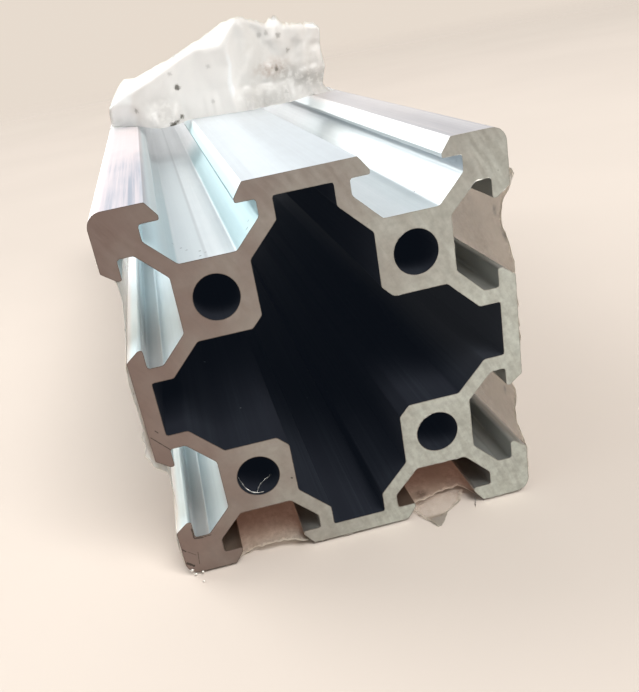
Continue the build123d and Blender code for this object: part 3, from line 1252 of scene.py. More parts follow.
@dataclass
class PackingFilm:
    """The torn film: a sleeve on three sides up to the cut end, and a flap that stands on the top."""

    finish: Material
    thickness: float = 0.04
    clearance: float = 0.04
    corner_radius: float = 1.55
    station_step: float = 0.42
    rows: int = 98
    row_spread: float = 1.6
    flap_rows: int = 46
    tear: float = 66.0
    flap_half: float = 18.4
    mouth_half: float = 4.6
    slot_place: float = 10.0
    sag_middle: float = 0.45
    sag_reach: Point = (12.0, 5.0)
    far_sag: Point = (0.9, 6.0)
    raggedness: Point = (0.24, 0.16)
    far_edge: Point = (0.35, 0.3)
    side_tear: Point = (15.0, 2.4)
    lump_reach: Point = (1.8, 6.0)
    most_beneath: float = 0.16

    # The flare of the torn side edges: what fades from the cut end, over which reach, and what stays
    flare_left: Place = (0.22, 20.0, 0.1)
    flare_right: Place = (0.5, 14.0, 0.2)
    flare_width: float = 0.9
    far_from_edges: float = 30.0
    floor_gap: float = 0.02
    seed: int = 7

    # Creases of the sleeve, dents over its mouths, and crumples of the flap and of the scraps
    creases: Creases = Creases(
        (19.0, 141.0), (-HALF_LENGTH, HALF_LENGTH), 110, 0.5, (5.0, 19.0), (0.7, 1.8), (0.03, 0.2)
    )
    dents: Creases = Creases(
        (19.0, 141.0), (-HALF_LENGTH, HALF_LENGTH), 55, 0.5, (5.0, 19.0), (1.2, 2.6), (0.05, 0.22)
    )
    crumples: Creases = Creases((-19.0, 19.0), (0.0, 13.0), 130, 0.8, (1.6, 7.0), (0.5, 2.6), (0.02, 0.16))
    scrap_crumples: Creases = Creases(
        (6.0, 13.0), (-78.0, -72.0), 24, 0.9, (1.0, 3.0), (0.4, 1.1), (0.03, 0.14)
    )

    # How far the near edge is set back from the cut end, by place on each side
    near_edge: ClassVar[Marks] = {
        Side.TOP: (
            (-18.3, 84.0), (-17.0, 82.0), (-14.7, 77.5), (-12.6, 71.0), (-10.9, 67.0), (-8.0, 67.5),
            (-6.4, 69.7), (-0.9, 66.2), (4.1, 63.2), (5.6, 64.2), (7.3, 66.4), (10.4, 66.6),
            (13.2, 67.5), (16.0, 68.0), (18.3, 68.3),
        ),
        Side.LEFT: (
            (18.3, 86.0), (17.5, 70.0), (15.2, 3.0), (14.6, 0.9), (13.4, 1.1), (11.5, 1.3), (8.5, 0.8),
            (5.6, 0.15), (0.0, 0.1), (-3.0, 0.0), (-6.4, 0.2), (-9.0, 1.1), (-12.0, 1.2),
            (-14.6, 0.2), (-18.5, 0.3),
        ),
        Side.BOTTOM: (
            (-18.0, 0.3), (-14.5, 0.5), (-13.4, 1.6), (-11.0, 1.0), (-9.0, 0.9), (-6.5, 0.3), (0.0, 0.2),
            (5.0, 0.8), (8.8, 2.2), (10.6, 2.8), (12.8, 3.1), (13.9, 0.9), (18.0, 0.3),
        ),
        Side.RIGHT: (
            (-18.0, 0.2), (-14.5, 0.3), (-10.0, 1.0), (-5.5, 0.3), (0.0, 0.15), (5.6, 0.3), (11.0, 1.1),
            (14.4, 0.6), (15.8, 1.5), (17.4, 60.0), (18.3, 68.3),
        ),
    }
    # How deep the film sags at the cut end; a lump that stands proud has a depth under 0
    near_depth: ClassVar[Marks] = {
        Side.TOP: ((-18.3, 0.0), (18.3, 0.0)),
        Side.LEFT: (
            (14.9, 0.0), (14.2, 0.5), (13.4, 1.3), (12.8, 1.33), (11.5, 1.38), (8.55, 0.77), (6.6, 0.27),
            (5.2, -0.1), (4.0, -0.24), (-1.5, -0.26), (-2.17, -0.4), (-2.67, -0.62), (-3.1, -0.45),
            (-3.47, -0.54), (-4.0, -0.6), (-4.37, -0.78), (-4.99, -0.68), (-5.65, -0.42), (-5.98, -0.33),
            (-6.5, -0.25), (-6.8, 0.3), (-7.1, 0.95), (-8.0, 1.0), (-9.1, 0.98), (-10.3, 1.06),
            (-12.1, 0.89), (-13.4, 0.35), (-14.8, -0.1), (-16.4, -0.2), (-18.4, -0.05),
        ),
        Side.BOTTOM: (
            (-14.6, 0.0), (-13.5, 0.05), (-12.0, 0.45), (-10.8, 0.8), (-9.6, 0.95), (-7.5, 0.85),
            (-6.5, 0.6), (-5.4, 0.0), (5.4, 0.0), (7.0, 0.9), (10.0, 1.1), (13.1, 0.9), (14.6, 0.0),
        ),
        Side.RIGHT: (
            (-16.4, -0.05), (-14.76, -0.1), (-12.63, 0.45), (-11.59, 0.74), (-9.69, 0.7), (-7.87, 0.55),
            (-6.8, 1.05), (-6.2, 0.9), (-5.4, 0.0), (5.4, -0.05), (6.05, -0.12), (7.81, 0.02),
            (9.05, 0.34), (10.84, 0.89), (12.33, 0.78), (13.02, 0.47), (13.72, 0.29), (14.55, -0.43),
            (15.46, -0.75), (16.13, -0.4), (17.2, -0.1),
        ),
    }
    # Soiled places on the sides: side, place, set-back from the cut end and radius
    soiled: tuple[tuple[Side, float, float, float], ...] = (
        (Side.LEFT, 12.9, 2.4, 0.5), (Side.LEFT, 10.9, 2.8, 0.4), (Side.LEFT, 8.6, 1.5, 0.4),
        (Side.RIGHT, 11.5, 3.0, 0.5), (Side.RIGHT, 9.2, 1.4, 0.5), (Side.RIGHT, -9.0, 4.0, 0.4),
        (Side.BOTTOM, 8.0, 3.4, 0.9),
    )

    # The flap, by x: its outline's height, the line under its bent-back band, how far the band bends
    # back and its set-back; and by height: its right edge and its ridge
    outline: tuple[Point, ...] = (
        (-18.5, 3.6), (-18.1, 4.3), (-17.2, 5.4), (-16.0, 6.8), (-14.9, 7.75), (-12.9, 7.95), (-9.3, 9.2),
        (-6.2, 10.0), (-2.2, 11.35), (0.7, 12.6), (2.1, 13.3), (4.2, 13.5), (5.4, 13.2), (7.2, 12.7),
        (8.9, 12.2), (9.7, 12.9), (10.6, 12.75), (11.4, 12.1), (12.5, 11.4), (15.3, 10.8), (17.5, 10.75),
        (18.1, 9.9), (18.5, 9.6),
    )
    band: tuple[Point, ...] = (
        (-18.5, 3.3), (-17.0, 4.1), (-11.4, 6.5), (-6.5, 8.6), (-2.6, 9.75), (0.8, 9.5), (2.7, 11.2),
        (4.3, 12.6), (6.0, 12.5), (9.0, 11.3), (12.5, 10.6), (15.0, 10.0), (18.4, 9.3),
    )
    band_back: tuple[Point, ...] = (
        (-19.0, 1.2), (-16.0, 2.4), (1.0, 2.6), (4.0, 0.9), (14.0, 0.5), (16.0, 1.0), (18.0, 1.3),
    )
    right_edge: tuple[Point, ...] = (
        (0.0, 17.9), (1.45, 16.9), (3.8, 17.9), (6.3, 17.6), (9.7, 18.05), (10.8, 17.5),
    )
    set_back: tuple[Point, ...] = (
        (-19.0, 77.0), (-15.0, 75.0), (-12.0, 72.0), (-8.0, 70.0), (-4.0, 69.0), (0.0, 67.5), (4.6, 66.5),
        (8.0, 67.0), (12.0, 68.0), (18.0, 69.0),
    )
    ridge: tuple[Point, ...] = ((0.0, 1.5), (4.6, 1.5), (7.0, 2.0), (9.4, 1.8), (11.2, 2.7), (13.5, 4.3))

    # Where the flap is darker: round patches by strength, middle, stretch, reach and left end; angular ones
    # by strength and by steps in x and in z; the slanting band by strength, height, slope, place and width
    round_darkening: tuple[tuple[float, float, float, float, Point, Point], ...] = (
        (0.09, -10.5, 21.6, 1.6, (6.0, 0.5), (-14.0, -12.0)),
        (0.17, -9.9, 21.9, 1.5, (4.4, 1.0), (-19.0, -18.0)),
    )
    angular_darkening: tuple[tuple[float, tuple[Point, ...], tuple[Point, ...]], ...] = (
        (0.08, ((2.4, 4.0), (9.0, 7.0)), ((30.5, 28.5),)),
        (0.07, ((7.0, 9.0),), ((26.0, 24.5),)),
        (0.06, ((9.0, 15.0),), ((30.5, 28.5),)),
        (0.16, ((1.0, 3.0), (12.0, 10.5)), ((23.0, 22.0),)),
    )
    slanting_darkening: tuple[float, float, float, float, float] = (0.36, 23.3, 0.24, 12.6, 1.5)

    # The scraps: the tongue's left and right edges by the share of its length, its length and its
    # place behind the cut end, and the line of the thread
    tongue_left: tuple[Point, ...] = ((0.0, 6.2), (0.35, 6.6), (0.6, 7.1), (0.8, 7.7), (1.0, 8.1))
    tongue_right: tuple[Point, ...] = ((0.0, 13.0), (0.35, 12.0), (0.6, 9.9), (0.8, 9.3), (1.0, 8.5))
    tongue_length: float = 5.6
    tongue_start: float = 2.9
    tongue_height: float = -20.22
    tongue_grid: tuple[int, int] = (26, 30)
    thread: tuple[Place, ...] = (
        (13.9, -72.7, -20.0), (13.85, -74.1, -20.15), (13.5, -75.0, -20.2), (13.1, -75.9, -20.2),
    )
    thread_points: int = 26
    thread_radius: float = 0.055

    def stations(self) -> Stations:
        """Return the stations on the film's inner face."""
        return Stations(HALF_WIDTH + self.clearance, self.corner_radius, self.station_step)

    def mouth_sag(self, stations: Stations) -> Array:
        """Return the sag far from the edges: a flattened parabola over each slot's mouth."""
        level = stations.on(Side.TOP) | stations.on(Side.BOTTOM)
        upright = stations.on(Side.LEFT) | stations.on(Side.RIGHT)
        place = np.abs(np.where(level, stations.x[:, None], stations.z[:, None]))
        across = np.clip(1.0 - ((place - self.slot_place) / self.mouth_half) ** 2, 0.0, 1.0)
        return self.sag_middle * across**0.8 * (level | upright)

    def sag(self, stations: Stations, front: Array, from_front: Array) -> Array:
        """Work out how deep the film hangs into the slots' mouths.

        At the cut end it has the torn edge's own depth, which fades to the parabola over the mouth as
        exp(−way from the cut end / reach).

        Args:
            stations: the stations round the profile.
            front: the near edge's set-back at each station.
            from_front: each point's way from the cut end.

        Returns:
            The sag of each point.
        """
        depth = stations.profile(self.near_depth)
        on_upper_left = stations.on(Side.LEFT) & (stations.z[:, None] > 0)
        near = np.exp(-from_front / np.where(on_upper_left, *self.sag_reach))
        most, reach = self.far_sag
        far = most * np.exp((from_front - 2 * HALF_LENGTH) / reach)
        middle = self.mouth_sag(stations)
        sag = np.clip(depth, 0.0, None) * near + middle * (1.0 - near + far)
        behind_tear = middle * np.clip((from_front - front) / 12.0, 0.6, 1.0)
        return np.where(stations.on(Side.TOP), behind_tear, sag)

    def below_tear(self, stations: Stations, from_front: Array) -> Array:
        """Return each point's way down from the torn edge of the left or the right side."""
        start, rise = self.side_tear
        edge = start + rise * np.clip(from_front / self.tear, 0.0, 1.0)
        on_sides = stations.on(Side.LEFT) | stations.on(Side.RIGHT)
        below = np.clip(edge - stations.z[:, None], 0.0, None)
        return np.where(on_sides & (from_front < self.tear), below, self.far_from_edges)

    def lift(self, rng: Rng, stations: Stations, from_front: Array) -> Array:
        """Work out how far the film stands off the profile.

        It is the sum of the creases, less dents over the mouths, the lumps of the near edge, which fade
        as exp(−(way / reach)²), and the flare of the torn side edges.

        Args:
            rng: the seeded source of numbers.
            stations: the stations round the profile.
            from_front: each point's way from the cut end.

        Returns:
            The lift of each point.
        """
        x, z = stations.x[:, None], stations.z[:, None]
        on_left, on_right = stations.on(Side.LEFT), stations.on(Side.RIGHT)
        y = from_front - HALF_LENGTH
        way = np.broadcast_to(stations.reach[:, None], y.shape)
        lift = self.creases.over(rng, way, y) * (0.35 + 0.65 * bounded(from_front, 0.5, 9.0))
        in_mouth = bounded(self.mouth_sag(stations), 0.0, 0.3)
        lift -= self.dents.over(rng, way, y) * in_mouth * bounded(from_front, 1.0, 6.0)

        proud = np.clip(-stations.profile(self.near_depth), 0.0, None)
        proud = proud * np.where(on_right & (z > 12.0), 0.3, 1.0)
        grain = 0.25 * smoothed(rng, len(stations.x), 1, closed=True)[:, None]
        proud = proud * (1.0 + grain * np.cos(2.2 * from_front))
        lift += proud * np.exp(-((from_front / np.where(on_left, *self.lump_reach)) ** 2))

        left, right = (
            most * np.exp(-from_front / reach) + least
            for most, reach, least in (self.flare_left, self.flare_right)
        )
        below = self.below_tear(stations, from_front)
        lift += np.where(x > 0, right, left) * np.exp(-below / self.flare_width)
        return np.where(stations.on(Side.BOTTOM), np.clip(lift, 0.0, self.most_beneath), lift)

    def sleeve(self, rng: Rng, stations: Stations) -> tuple[Array, ...]:
        """Work out the sleeve's points.

        Its rows spread from the ragged near edge to the ragged far edge, closest together at the near
        one. A point is the station's place, moved along the outward normal by its lift less its sag.

        Args:
            rng: the seeded source of numbers.
            stations: the stations round the profile.

        Returns:
            The points as an array of stations by rows by 3, each point's distance to a free edge, and
            its soil.
        """
        count = len(stations.x)
        fine, wide = self.raggedness
        ragged = fine * smoothed(rng, count, 1, closed=True) + wide * smoothed(rng, count, 4, closed=True)
        front = np.clip(stations.profile(self.near_edge) + ragged[:, None], -0.2, None)
        middle, spread = self.far_edge
        rear = middle + spread * smoothed(rng, count, 3, closed=True)[:, None]
        share = np.linspace(0.0, 1.0, self.rows)[None] ** self.row_spread
        from_front = front + share * (2 * HALF_LENGTH - front - rear)
        moved = self.lift(rng, stations, from_front) - self.sag(stations, front, from_front)

        places = (stations.x[:, None], from_front - HALF_LENGTH, stations.z[:, None])
        base = np.stack([np.broadcast_to(place, from_front.shape) for place in places], axis=2)
        points = base + moved[:, :, None] * stations.normal[:, None, :]
        lowest = self.thickness + self.floor_gap - AXIS_HEIGHT
        points[:, :, 2] = np.maximum(points[:, :, 2], lowest)
        free = np.minimum(from_front - front, 2 * HALF_LENGTH - from_front - rear)
        soil_and_darkening = np.zeros_like(from_front)
        for side, where, back, radius in self.soiled:
            distance = np.hypot(stations.reach[:, None] - stations.at(side, where), from_front - back)
            soil_and_darkening = np.maximum(soil_and_darkening, bounded(radius - distance, -0.3 * radius, 0.4 * radius))
        return points, np.minimum(free, self.below_tear(stations, from_front)), soil_and_darkening

    def flap(self, rng: Rng, foot: Array) -> tuple[Array, ...]:
        """Work out the flap's points above its foot.

        A point stands over its place on the foot at a share of the outline's height. The panel runs
        back to the left, one sharp ridge faces the near end, creases crumple it, and above the band's
        line it bends back.

        Args:
            rng: the seeded source of numbers.
            foot: the foot's points, from left to right.

        Returns:
            The points as an array of columns by rows by 3, without the foot, each point's distance to
            a free edge, and its share of folds, which the ridge and the bent-back band raise as real folds
            with a painted highlight.
        """
        x, y, z = (foot[:, k, None] for k in range(3))
        jag = 0.2 * smoothed(rng, len(x), 1) * bounded(foot[:, 0], 1.0, 8.0) + 0.1 * smoothed(rng, len(x), 2)
        top = along_marks(x, self.outline) + jag[:, None]
        band = along_marks(x, self.band)
        share = (np.arange(1, self.flap_rows + 1) / self.flap_rows)[None]
        rise = top * share
        y = y + (along_marks(x, self.set_back) - HALF_LENGTH - y) * bounded(rise, 0.0, 4.0)
        away = x - along_marks(rise, self.ridge)
        ridge = np.exp(-np.abs(away) / 1.2) + 0.8 * np.exp(-((away / 5.0) ** 2))
        y -= ridge * bounded(rise, 0.3, 3.5)
        over = np.clip((rise - band) / np.maximum(top - band, 0.3), 0.0, 1.0)
        back = along_marks(x, self.band_back)
        y += back * over**1.2

        spread = rng.integers(0, 2**31)
        out, into = (self.crumples.over(np.random.default_rng(spread + k), x, rise) for k in range(2))
        crumples = out - into
        y -= crumples * (0.8 + 1.5 * bounded(x, 1.0, 6.0)) * bounded(rise, 0.0, 2.5)
        edge = along_marks(rise, self.right_edge) - self.flap_half
        sway = edge * np.clip((x - 8.0) / (self.flap_half - 8.0), 0.0, 1.0) ** 2
        drawn = np.clip(1.0 - rise / 4.0, 0.0, 1.0) ** 0.5
        sway -= 1.2 * drawn * np.clip((-x - 14.5) / (self.flap_half - 14.5), 0.0, 1.0) ** 2
        points = np.stack([x + sway, y, z + rise - 0.1 * back * over**2], axis=2)

        free = np.minimum(top * (1.0 - share), self.flap_half + 0.05 - np.abs(x))
        # The bent-back band and the ridge are whiter: real folds, with a painted highlight along them
        bent = bounded(rise - band, -0.15, 0.5)
        crest_highlight = np.exp(-((away / 0.55) ** 2)) * bounded(rise, 1.0, 4.0) * bounded(10.5 - rise, 0.0, 4.0)
        folds = 0.66 - 0.09 * bounded(x, 2.0, 8.0) + 0.1 * np.clip(crumples / 0.25, -1.0, 1.0)
        folds = folds + 0.34 * np.maximum(bent, crest_highlight) + 0.3 * bounded(-x, 12.0, 15.5)
        return points, free, np.clip(folds, 0.0, 1.0)

    def flap_darkening(self, flap: Array) -> Array:
        """Return how much darker the flap is: patches that fade by smooth steps, and a slanting band.

        A round patch falls off with its distance, with z stretched. An angular one is a product of
        steps of x and z. The band is a bell across its middle line.

        Args:
            flap: the flap's points, an array of columns by rows by 3.

        Returns:
            How much darker each point is.
        """
        x, z = flap[:, :, 0], flap[:, :, 2]
        soil_and_darkening = np.zeros_like(x)
        for strength, middle_x, middle_z, stretch, reach, left in self.round_darkening:
            distance = np.hypot(x - middle_x, stretch * (z - middle_z))
            soil_and_darkening += strength * bounded(distance, *reach) * bounded(x, *left)
        for strength, steps_x, steps_z in self.angular_darkening:
            steps = [bounded(x, *span) for span in steps_x] + [bounded(z, *span) for span in steps_z]
            soil_and_darkening += strength * np.prod(steps, axis=0)
        strength, start_z, slope, start_x, width = self.slanting_darkening
        from_middle = (z - start_z + slope * (x - start_x)) / width
        return soil_and_darkening + strength * bounded(x, 6.5, 12.5) * np.exp(-(from_middle**2))

    def sleeve_folds(self, stations: Stations, behind: Array) -> tuple[Array, Array]:
        """Work out where the sleeve is milky.

        Every part falls off with the way behind the near edge: the foot of the flap, the lumps of the
        near edge, and the film that the left slots' lips hold.

        Args:
            stations: the stations round the profile.
            behind: each point's way behind the near edge.

        Returns:
            The folds, and the lumps alone.
        """
        foot = np.where(stations.on(Side.TOP), 0.95 * np.exp(-behind / 1.5), 0.0)
        lumps = np.clip(-stations.profile(self.near_depth) - 0.03, 0.0, 0.2) / 0.2
        lumps = lumps * np.exp(-behind / 2.0)
        place = np.where(stations.on(Side.LEFT), stations.z[:, None], 0.0)
        upper = 1.1 * bounded(place, 4.6, 6.5) * np.exp(-((behind / 7.0) ** 2))
        lower = 0.85 * bounded(place, -5.2, -6.4) * np.exp(-((behind / 3.5) ** 2))
        return np.maximum.reduce([foot, 1.3 * lumps, upper, lower]), lumps

    def build(self) -> list[Piece]:
        """Build the sheet and its torn scraps.

        Returns:
            The film and its scraps.
        """
        rng = np.random.default_rng(self.seed)
        stations = self.stations()
        sleeve, free, soil_and_darkening = self.sleeve(rng, stations)
        ids = np.arange(free.size).reshape(free.shape)
        on_top = stations.on(Side.TOP)[:, 0]
        top = np.flatnonzero(on_top & (np.abs(stations.x) <= self.flap_half))
        top = top[np.argsort(stations.x[top])]
        flap, flap_free, flap_folds = self.flap(rng, sleeve[top, 0])
        flap_ids = ids.size + np.arange(flap_free.size).reshape(flap_free.shape)
        columns = np.concatenate([ids[top, :1], flap_ids], axis=1)
        corners = [columns[:-1, :-1], columns[:-1, 1:], columns[1:, 1:], columns[1:, :-1]]
        quads = np.stack(corners, axis=2)
        faces = np.concatenate([grid_faces(*free.shape, closed_across=True), quads.reshape(-1, 4)])
        points = np.concatenate([sleeve.reshape(-1, 3), flap.reshape(-1, 3)])
        film = make_piece("packing_film_sheet", points, faces, self.finish)

        inside = sleeve[top, :, 1] < HALF_LENGTH - 5.0
        free[top] = np.where(inside, self.far_from_edges, free[top])
        folds, lumps = self.sleeve_folds(stations, np.abs(sleeve[:, :, 1] - sleeve[:, :1, 1]))
        soil_and_darkening = np.maximum(soil_and_darkening, 0.2 * lumps)
        marks = {
            "edge_distance": (free, flap_free),
            "folds": (folds, flap_folds),
            "soil_and_darkening": (soil_and_darkening, self.flap_darkening(flap)),
        }
        for name, values in marks.items():
            set_attribute(film, name, np.concatenate([part.ravel() for part in values]))
        mark_sharp(film, ids[top, 0])
        shell = film.modifiers.new("thickness", "SOLIDIFY")
        shell.thickness = self.thickness * MM
        shell.offset = 1.0

        scraps = self.scraps(rng)
        heights = along_marks(stations.x[top], self.outline)
        area = (np.gradient(stations.reach) * (HALF_LENGTH - sleeve[:, 0, 1])).sum()
        area += (np.gradient(stations.x[top]) * heights).sum()
        for piece in (film, scraps):
            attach(piece, "root")
        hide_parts("packing_film")
        return [film, scraps]

    def scraps(self, rng: Rng) -> Piece:
        """Make the thin tongue and the thread that hang from the bottom slot's torn edge.

        The tongue is a grid between a left and a right edge line, gently crumpled and closed by its
        rim; the thread is a flat ellipse carried along a line.

        Args:
            rng: the seeded source of numbers.

        Returns:
            The piece.
        """
        across, along = self.tongue_grid
        v = np.linspace(0.0, 1.0, along)
        left = along_marks(v, self.tongue_left) + 0.08 * smoothed(rng, along, 1)
        right = along_marks(v, self.tongue_right) + 0.1 * smoothed(rng, along, 1)
        u, v = np.meshgrid(np.linspace(0.0, 1.0, across), v, indexing="ij")
        x = left + (right - left) * u
        y = self.tongue_start - self.tongue_length * v - HALF_LENGTH
        crumples = np.clip(self.scrap_crumples.over(rng, x, y), 0.0, 0.5)
        z = self.tongue_height + crumples + 0.35 * (1.0 - bounded(v, 0.0, 0.5))
        lower = np.stack([x, y, z], axis=2).reshape(-1, 3)
        upper = lower + np.array([0.0, 0.0, self.thickness])
        sheet, size = grid_faces(across, along), across * along
        number = np.arange(size).reshape(across, along)
        rim = np.concatenate([number[0, :-1], number[:-1, -1], number[-1, :0:-1], number[:0:-1, 0]])
        following = np.roll(rim, -1)
        walls = np.stack([rim, following, following + size, rim + size], axis=1)

        path = curve_through(np.array(self.thread), self.thread_points)
        path[:, 0] += 0.07 * smoothed(rng, self.thread_points, 2)
        ends = np.sin(np.linspace(0.02, math.pi - 0.02, self.thread_points)) ** 0.5
        thread, thread_quads = swept_tube(path, self.thread_radius * ends, 0.5, 6)

        points = np.concatenate([lower, upper, thread])
        faces = np.concatenate([sheet[:, ::-1], sheet + size, walls, thread_quads + 2 * size])
        piece = make_piece("packing_film_scraps", points, faces, self.finish)
        tip = (bounded(v, 0.55, 0.72) * bounded(u, -0.1, 0.3)).ravel()
        edge = np.minimum(np.minimum(u, 1.0 - u) * (right - left), (1.0 - v) * self.tongue_length).ravel()
        rim_soil = 0.45 * np.exp(-((edge / 0.16) ** 2)) * bounded(v, 0.1, 0.4).ravel()
        marks = {
            "edge_distance": (edge, 9.0),
            "folds": (1.25 * tip - 0.85, 1.0),
            "soil_and_darkening": (np.maximum(0.35 * tip, rim_soil), 1.0),
        }
        for name, (values, on_thread) in marks.items():
            everywhere = np.concatenate([values, values, np.full(len(thread), on_thread)])
            set_attribute(piece, name, everywhere)
        return piece


# What the saw left


@dataclass
class SawnEdgeBurrs:
    """Fine burrs along the edges of both sawn ends."""

    finish: Material
    step: float = 0.26
    most: float = 0.11
    root: float = 0.05
    lean: Point = (0.6, 0.5)
    seed: int = 19

    def outlines(self, profile: Piece, end: float) -> list[Array]:
        """Return the closed outlines of one sawn end, in order round.

        Args:
            profile: the profile's CAD object.
            end: the end's place along the length.

        Returns:
            One array of points for each outline, with the metal on the same hand all the way.
        """
        mesh = profile.data
        co = np.empty(len(mesh.vertices) * 3, np.float32)
        mesh.vertices.foreach_get("co", co)
        mesh.calc_loop_triangles()
        corners = np.empty(len(mesh.loop_triangles) * 3, np.int32)
        mesh.loop_triangles.foreach_get("vertices", corners)
        points = co.reshape(-1, 3) / MM - np.array([0.0, 0.0, AXIS_HEIGHT])
        keys, merged = np.unique(np.round(points, 3), axis=0, return_inverse=True)
        triangles = merged.ravel()[corners].reshape(-1, 3)
        flat = np.all(np.abs(keys[triangles][:, :, 1] - end) < 0.002, axis=1)
        sides = triangles[flat][:, [0, 1, 1, 2, 2, 0]].reshape(-1, 2)
        present = {tuple(pair) for pair in sides.tolist()}
        ahead = {a: b for a, b in present if (b, a) not in present and a != b}
        loops = []
        while ahead:
            start, here = ahead.popitem()
            loop = [start]
            while here != start:
                loop.append(here)
                here = ahead.pop(here)
            loops.append(keys[loop])
        return loops

    def ribbon(self, rng: Rng, loop: Array, end: float) -> Mesh:
        """Lay a burr along an outline.

        The outline is spaced evenly. Round each of its points stand three more: one on the face inside
        the edge, one on the wall behind it, and a tip that leans out over the edge by a random height.

        Args:
            rng: the seeded source of numbers.
            loop: the outline's points.
            end: the end's place along the length.

        Returns:
            The points and the quads.
        """
        closed = np.concatenate([loop, loop[:1]])
        reach = np.concatenate([[0.0], np.cumsum(np.linalg.norm(np.diff(closed, axis=0), axis=1))])
        count = max(24, int(reach[-1] / self.step))
        even = np.linspace(0.0, reach[-1], count, endpoint=False)
        middle = np.stack([np.interp(even, reach, closed[:, k]) for k in range(3)], axis=1)
        ahead = np.roll(middle, -1, axis=0) - np.roll(middle, 1, axis=0)
        ahead /= np.linalg.norm(ahead, axis=1, keepdims=True)
        outward = np.array([0.0, math.copysign(1.0, end), 0.0])
        void = np.cross(ahead, outward)
        rough = 0.5 + 0.5 * smoothed(rng, count, 1, closed=True)
        patch = 0.5 + 0.5 * smoothed(rng, count, 9, closed=True)
        where = bounded(middle[:, 0] - 0.5 * middle[:, 2], -14.0, 14.0)
        corner = np.exp(-(((middle[:, 0] + 19.0) / 2.0) ** 2) - ((middle[:, 2] + 17.5) / 3.5) ** 2)
        size = self.most * rough**2 * patch * (where + 0.9 * corner)
        out, over = self.lean
        face = middle - self.root * void + 0.006 * outward
        wall = middle - self.root * outward + 0.003 * void
        tip = middle + 0.004 * (outward + void) + size[:, None] * (out * outward + over * void)
        points = np.stack([face, tip, wall], axis=1).reshape(-1, 3)
        return points, grid_faces(count, 3, closed_across=True, closed_along=True)

    def build(self, profile: Piece) -> Piece:
        """Build the burrs of both ends as one piece.

        Args:
            profile: the profile's CAD object.

        Returns:
            The piece.
        """
        rng = np.random.default_rng(self.seed)
        ends = (-HALF_LENGTH, HALF_LENGTH)
        parts = [self.ribbon(rng, loop, end) for end in ends for loop in self.outlines(profile, end)]
        piece = make_piece("saw_burrs", *joined(parts), self.finish, smooth=False)
        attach(piece, "root")
        return piece


@dataclass
class Swarf:
    """Two thin curls on the wall of the lower left bore, and crumbs at the lower left corner."""

    finish: Material
    width: float = 0.09
    points_each: int = 40
    crumb_grid: tuple[int, int] = (7, 8)
    seed: int = 23
    crumbs: tuple[Spot, ...] = (
        (-19.5, -75.1, -19.45, 0.2), (-19.2, -75.2, -20.0, 0.18), (-18.4, -75.15, -19.95, 0.17),
        (-18.45, -76.7, -20.15, 0.13),
    )
    curls: tuple[tuple[Place, ...], ...] = (
        (
            (-12.1, -72.7, -10.8), (-12.07, -73.0, -11.0), (-11.62, -74.2, -11.6), (-11.02, -74.6, -12.0),
            (-10.34, -74.7, -12.2), (-9.8, -74.75, -12.15),
        ),
        (
            (-8.5, -72.1, -11.7), (-8.68, -72.2, -11.84), (-9.42, -72.3, -12.14), (-10.11, -73.1, -12.2),
            (-10.43, -74.1, -12.18), (-10.5, -74.5, -12.1),
        ),
    )

    def curl(self, line: tuple[Place, ...]) -> Mesh:
        """Make one curl: a flat ellipse carried along a line, thin at both ends.

        Args:
            line: the points that the line runs by.

        Returns:
            The points and the quads.
        """
        path = curve_through(np.array(line), self.points_each)
        taper = np.sin(np.linspace(0.03, math.pi - 0.03, self.points_each)) ** 0.4
        pinch = 1.0 + 0.3 * np.cos(np.linspace(0.0, 26.0, self.points_each))
        return swept_tube(path, self.width * taper * pinch, 0.45, 8)

    def crumb(self, rng: Rng, x: float, y: float, z: float, size: float) -> Mesh:
        """Make one crumb: a sphere whose radius is uneven, with a small flat at each pole.

        Args:
            rng: the seeded source of numbers.
            x, y, z: the crumb's middle.
            size: its mean radius.

        Returns:
            The points and the quads.
        """
        rings, around = self.crumb_grid
        turns = np.linspace(0.0, 2 * math.pi, around, endpoint=False)
        tilt, turn = np.meshgrid(np.linspace(0.12, math.pi - 0.12, rings), turns, indexing="ij")
        radius = size * (1.0 + 0.35 * rng.uniform(-1.0, 1.0, tilt.shape) * np.sin(tilt))
        sine = np.sin(tilt)
        ball = np.stack([sine * np.cos(turn), 0.7 * sine * np.sin(turn), 0.75 * np.cos(tilt)], axis=2)
        points = (ball * radius[:, :, None]).reshape(-1, 3) + np.array([x, y, z])
        return points, tube_faces(rings, around)[:, ::-1]

    def build(self) -> Piece:
        """Build the curls and the crumbs as one piece.

        Returns:
            The piece.
        """
        rng = np.random.default_rng(self.seed)
        parts = [self.curl(line) for line in self.curls]
        parts += [self.crumb(rng, *place) for place in self.crumbs]
        piece = make_piece("swarf", *joined(parts), self.finish)
        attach(piece, "root")
        return piece


# Studio and camera


@dataclass(frozen=True)
class Lamp:
    """A wide soft lamp that is aimed at the profile."""

    name: str
    place: Place
    size: float
    power: float
    colour: Colour = (1.0, 0.99, 0.97)
    aim: Place = (0.0, -0.02, 0.02)

    def hang(self) -> None:
        """Hang the lamp: its own axes are across, up and away from what it is aimed at."""
        light = bpy.data.lights.new(self.name, "AREA")
        light.shape = "SQUARE"
        light.size = self.size
        light.energy = self.power
        light.color = self.colour
        lamp = bpy.data.objects.new(self.name, light)
        away = np.array(self.place) - np.array(self.aim)
        away /= np.linalg.norm(away)
        across = np.cross((0.0, 0.0, 1.0), away)
        across /= np.linalg.norm(across)
        frame = np.eye(4)
        frame[:3, :4] = np.stack([across, np.cross(away, across), away, self.place], axis=1)
        lamp.matrix_world = Matrix(frame.tolist())
        bpy.context.scene.collection.objects.link(lamp)


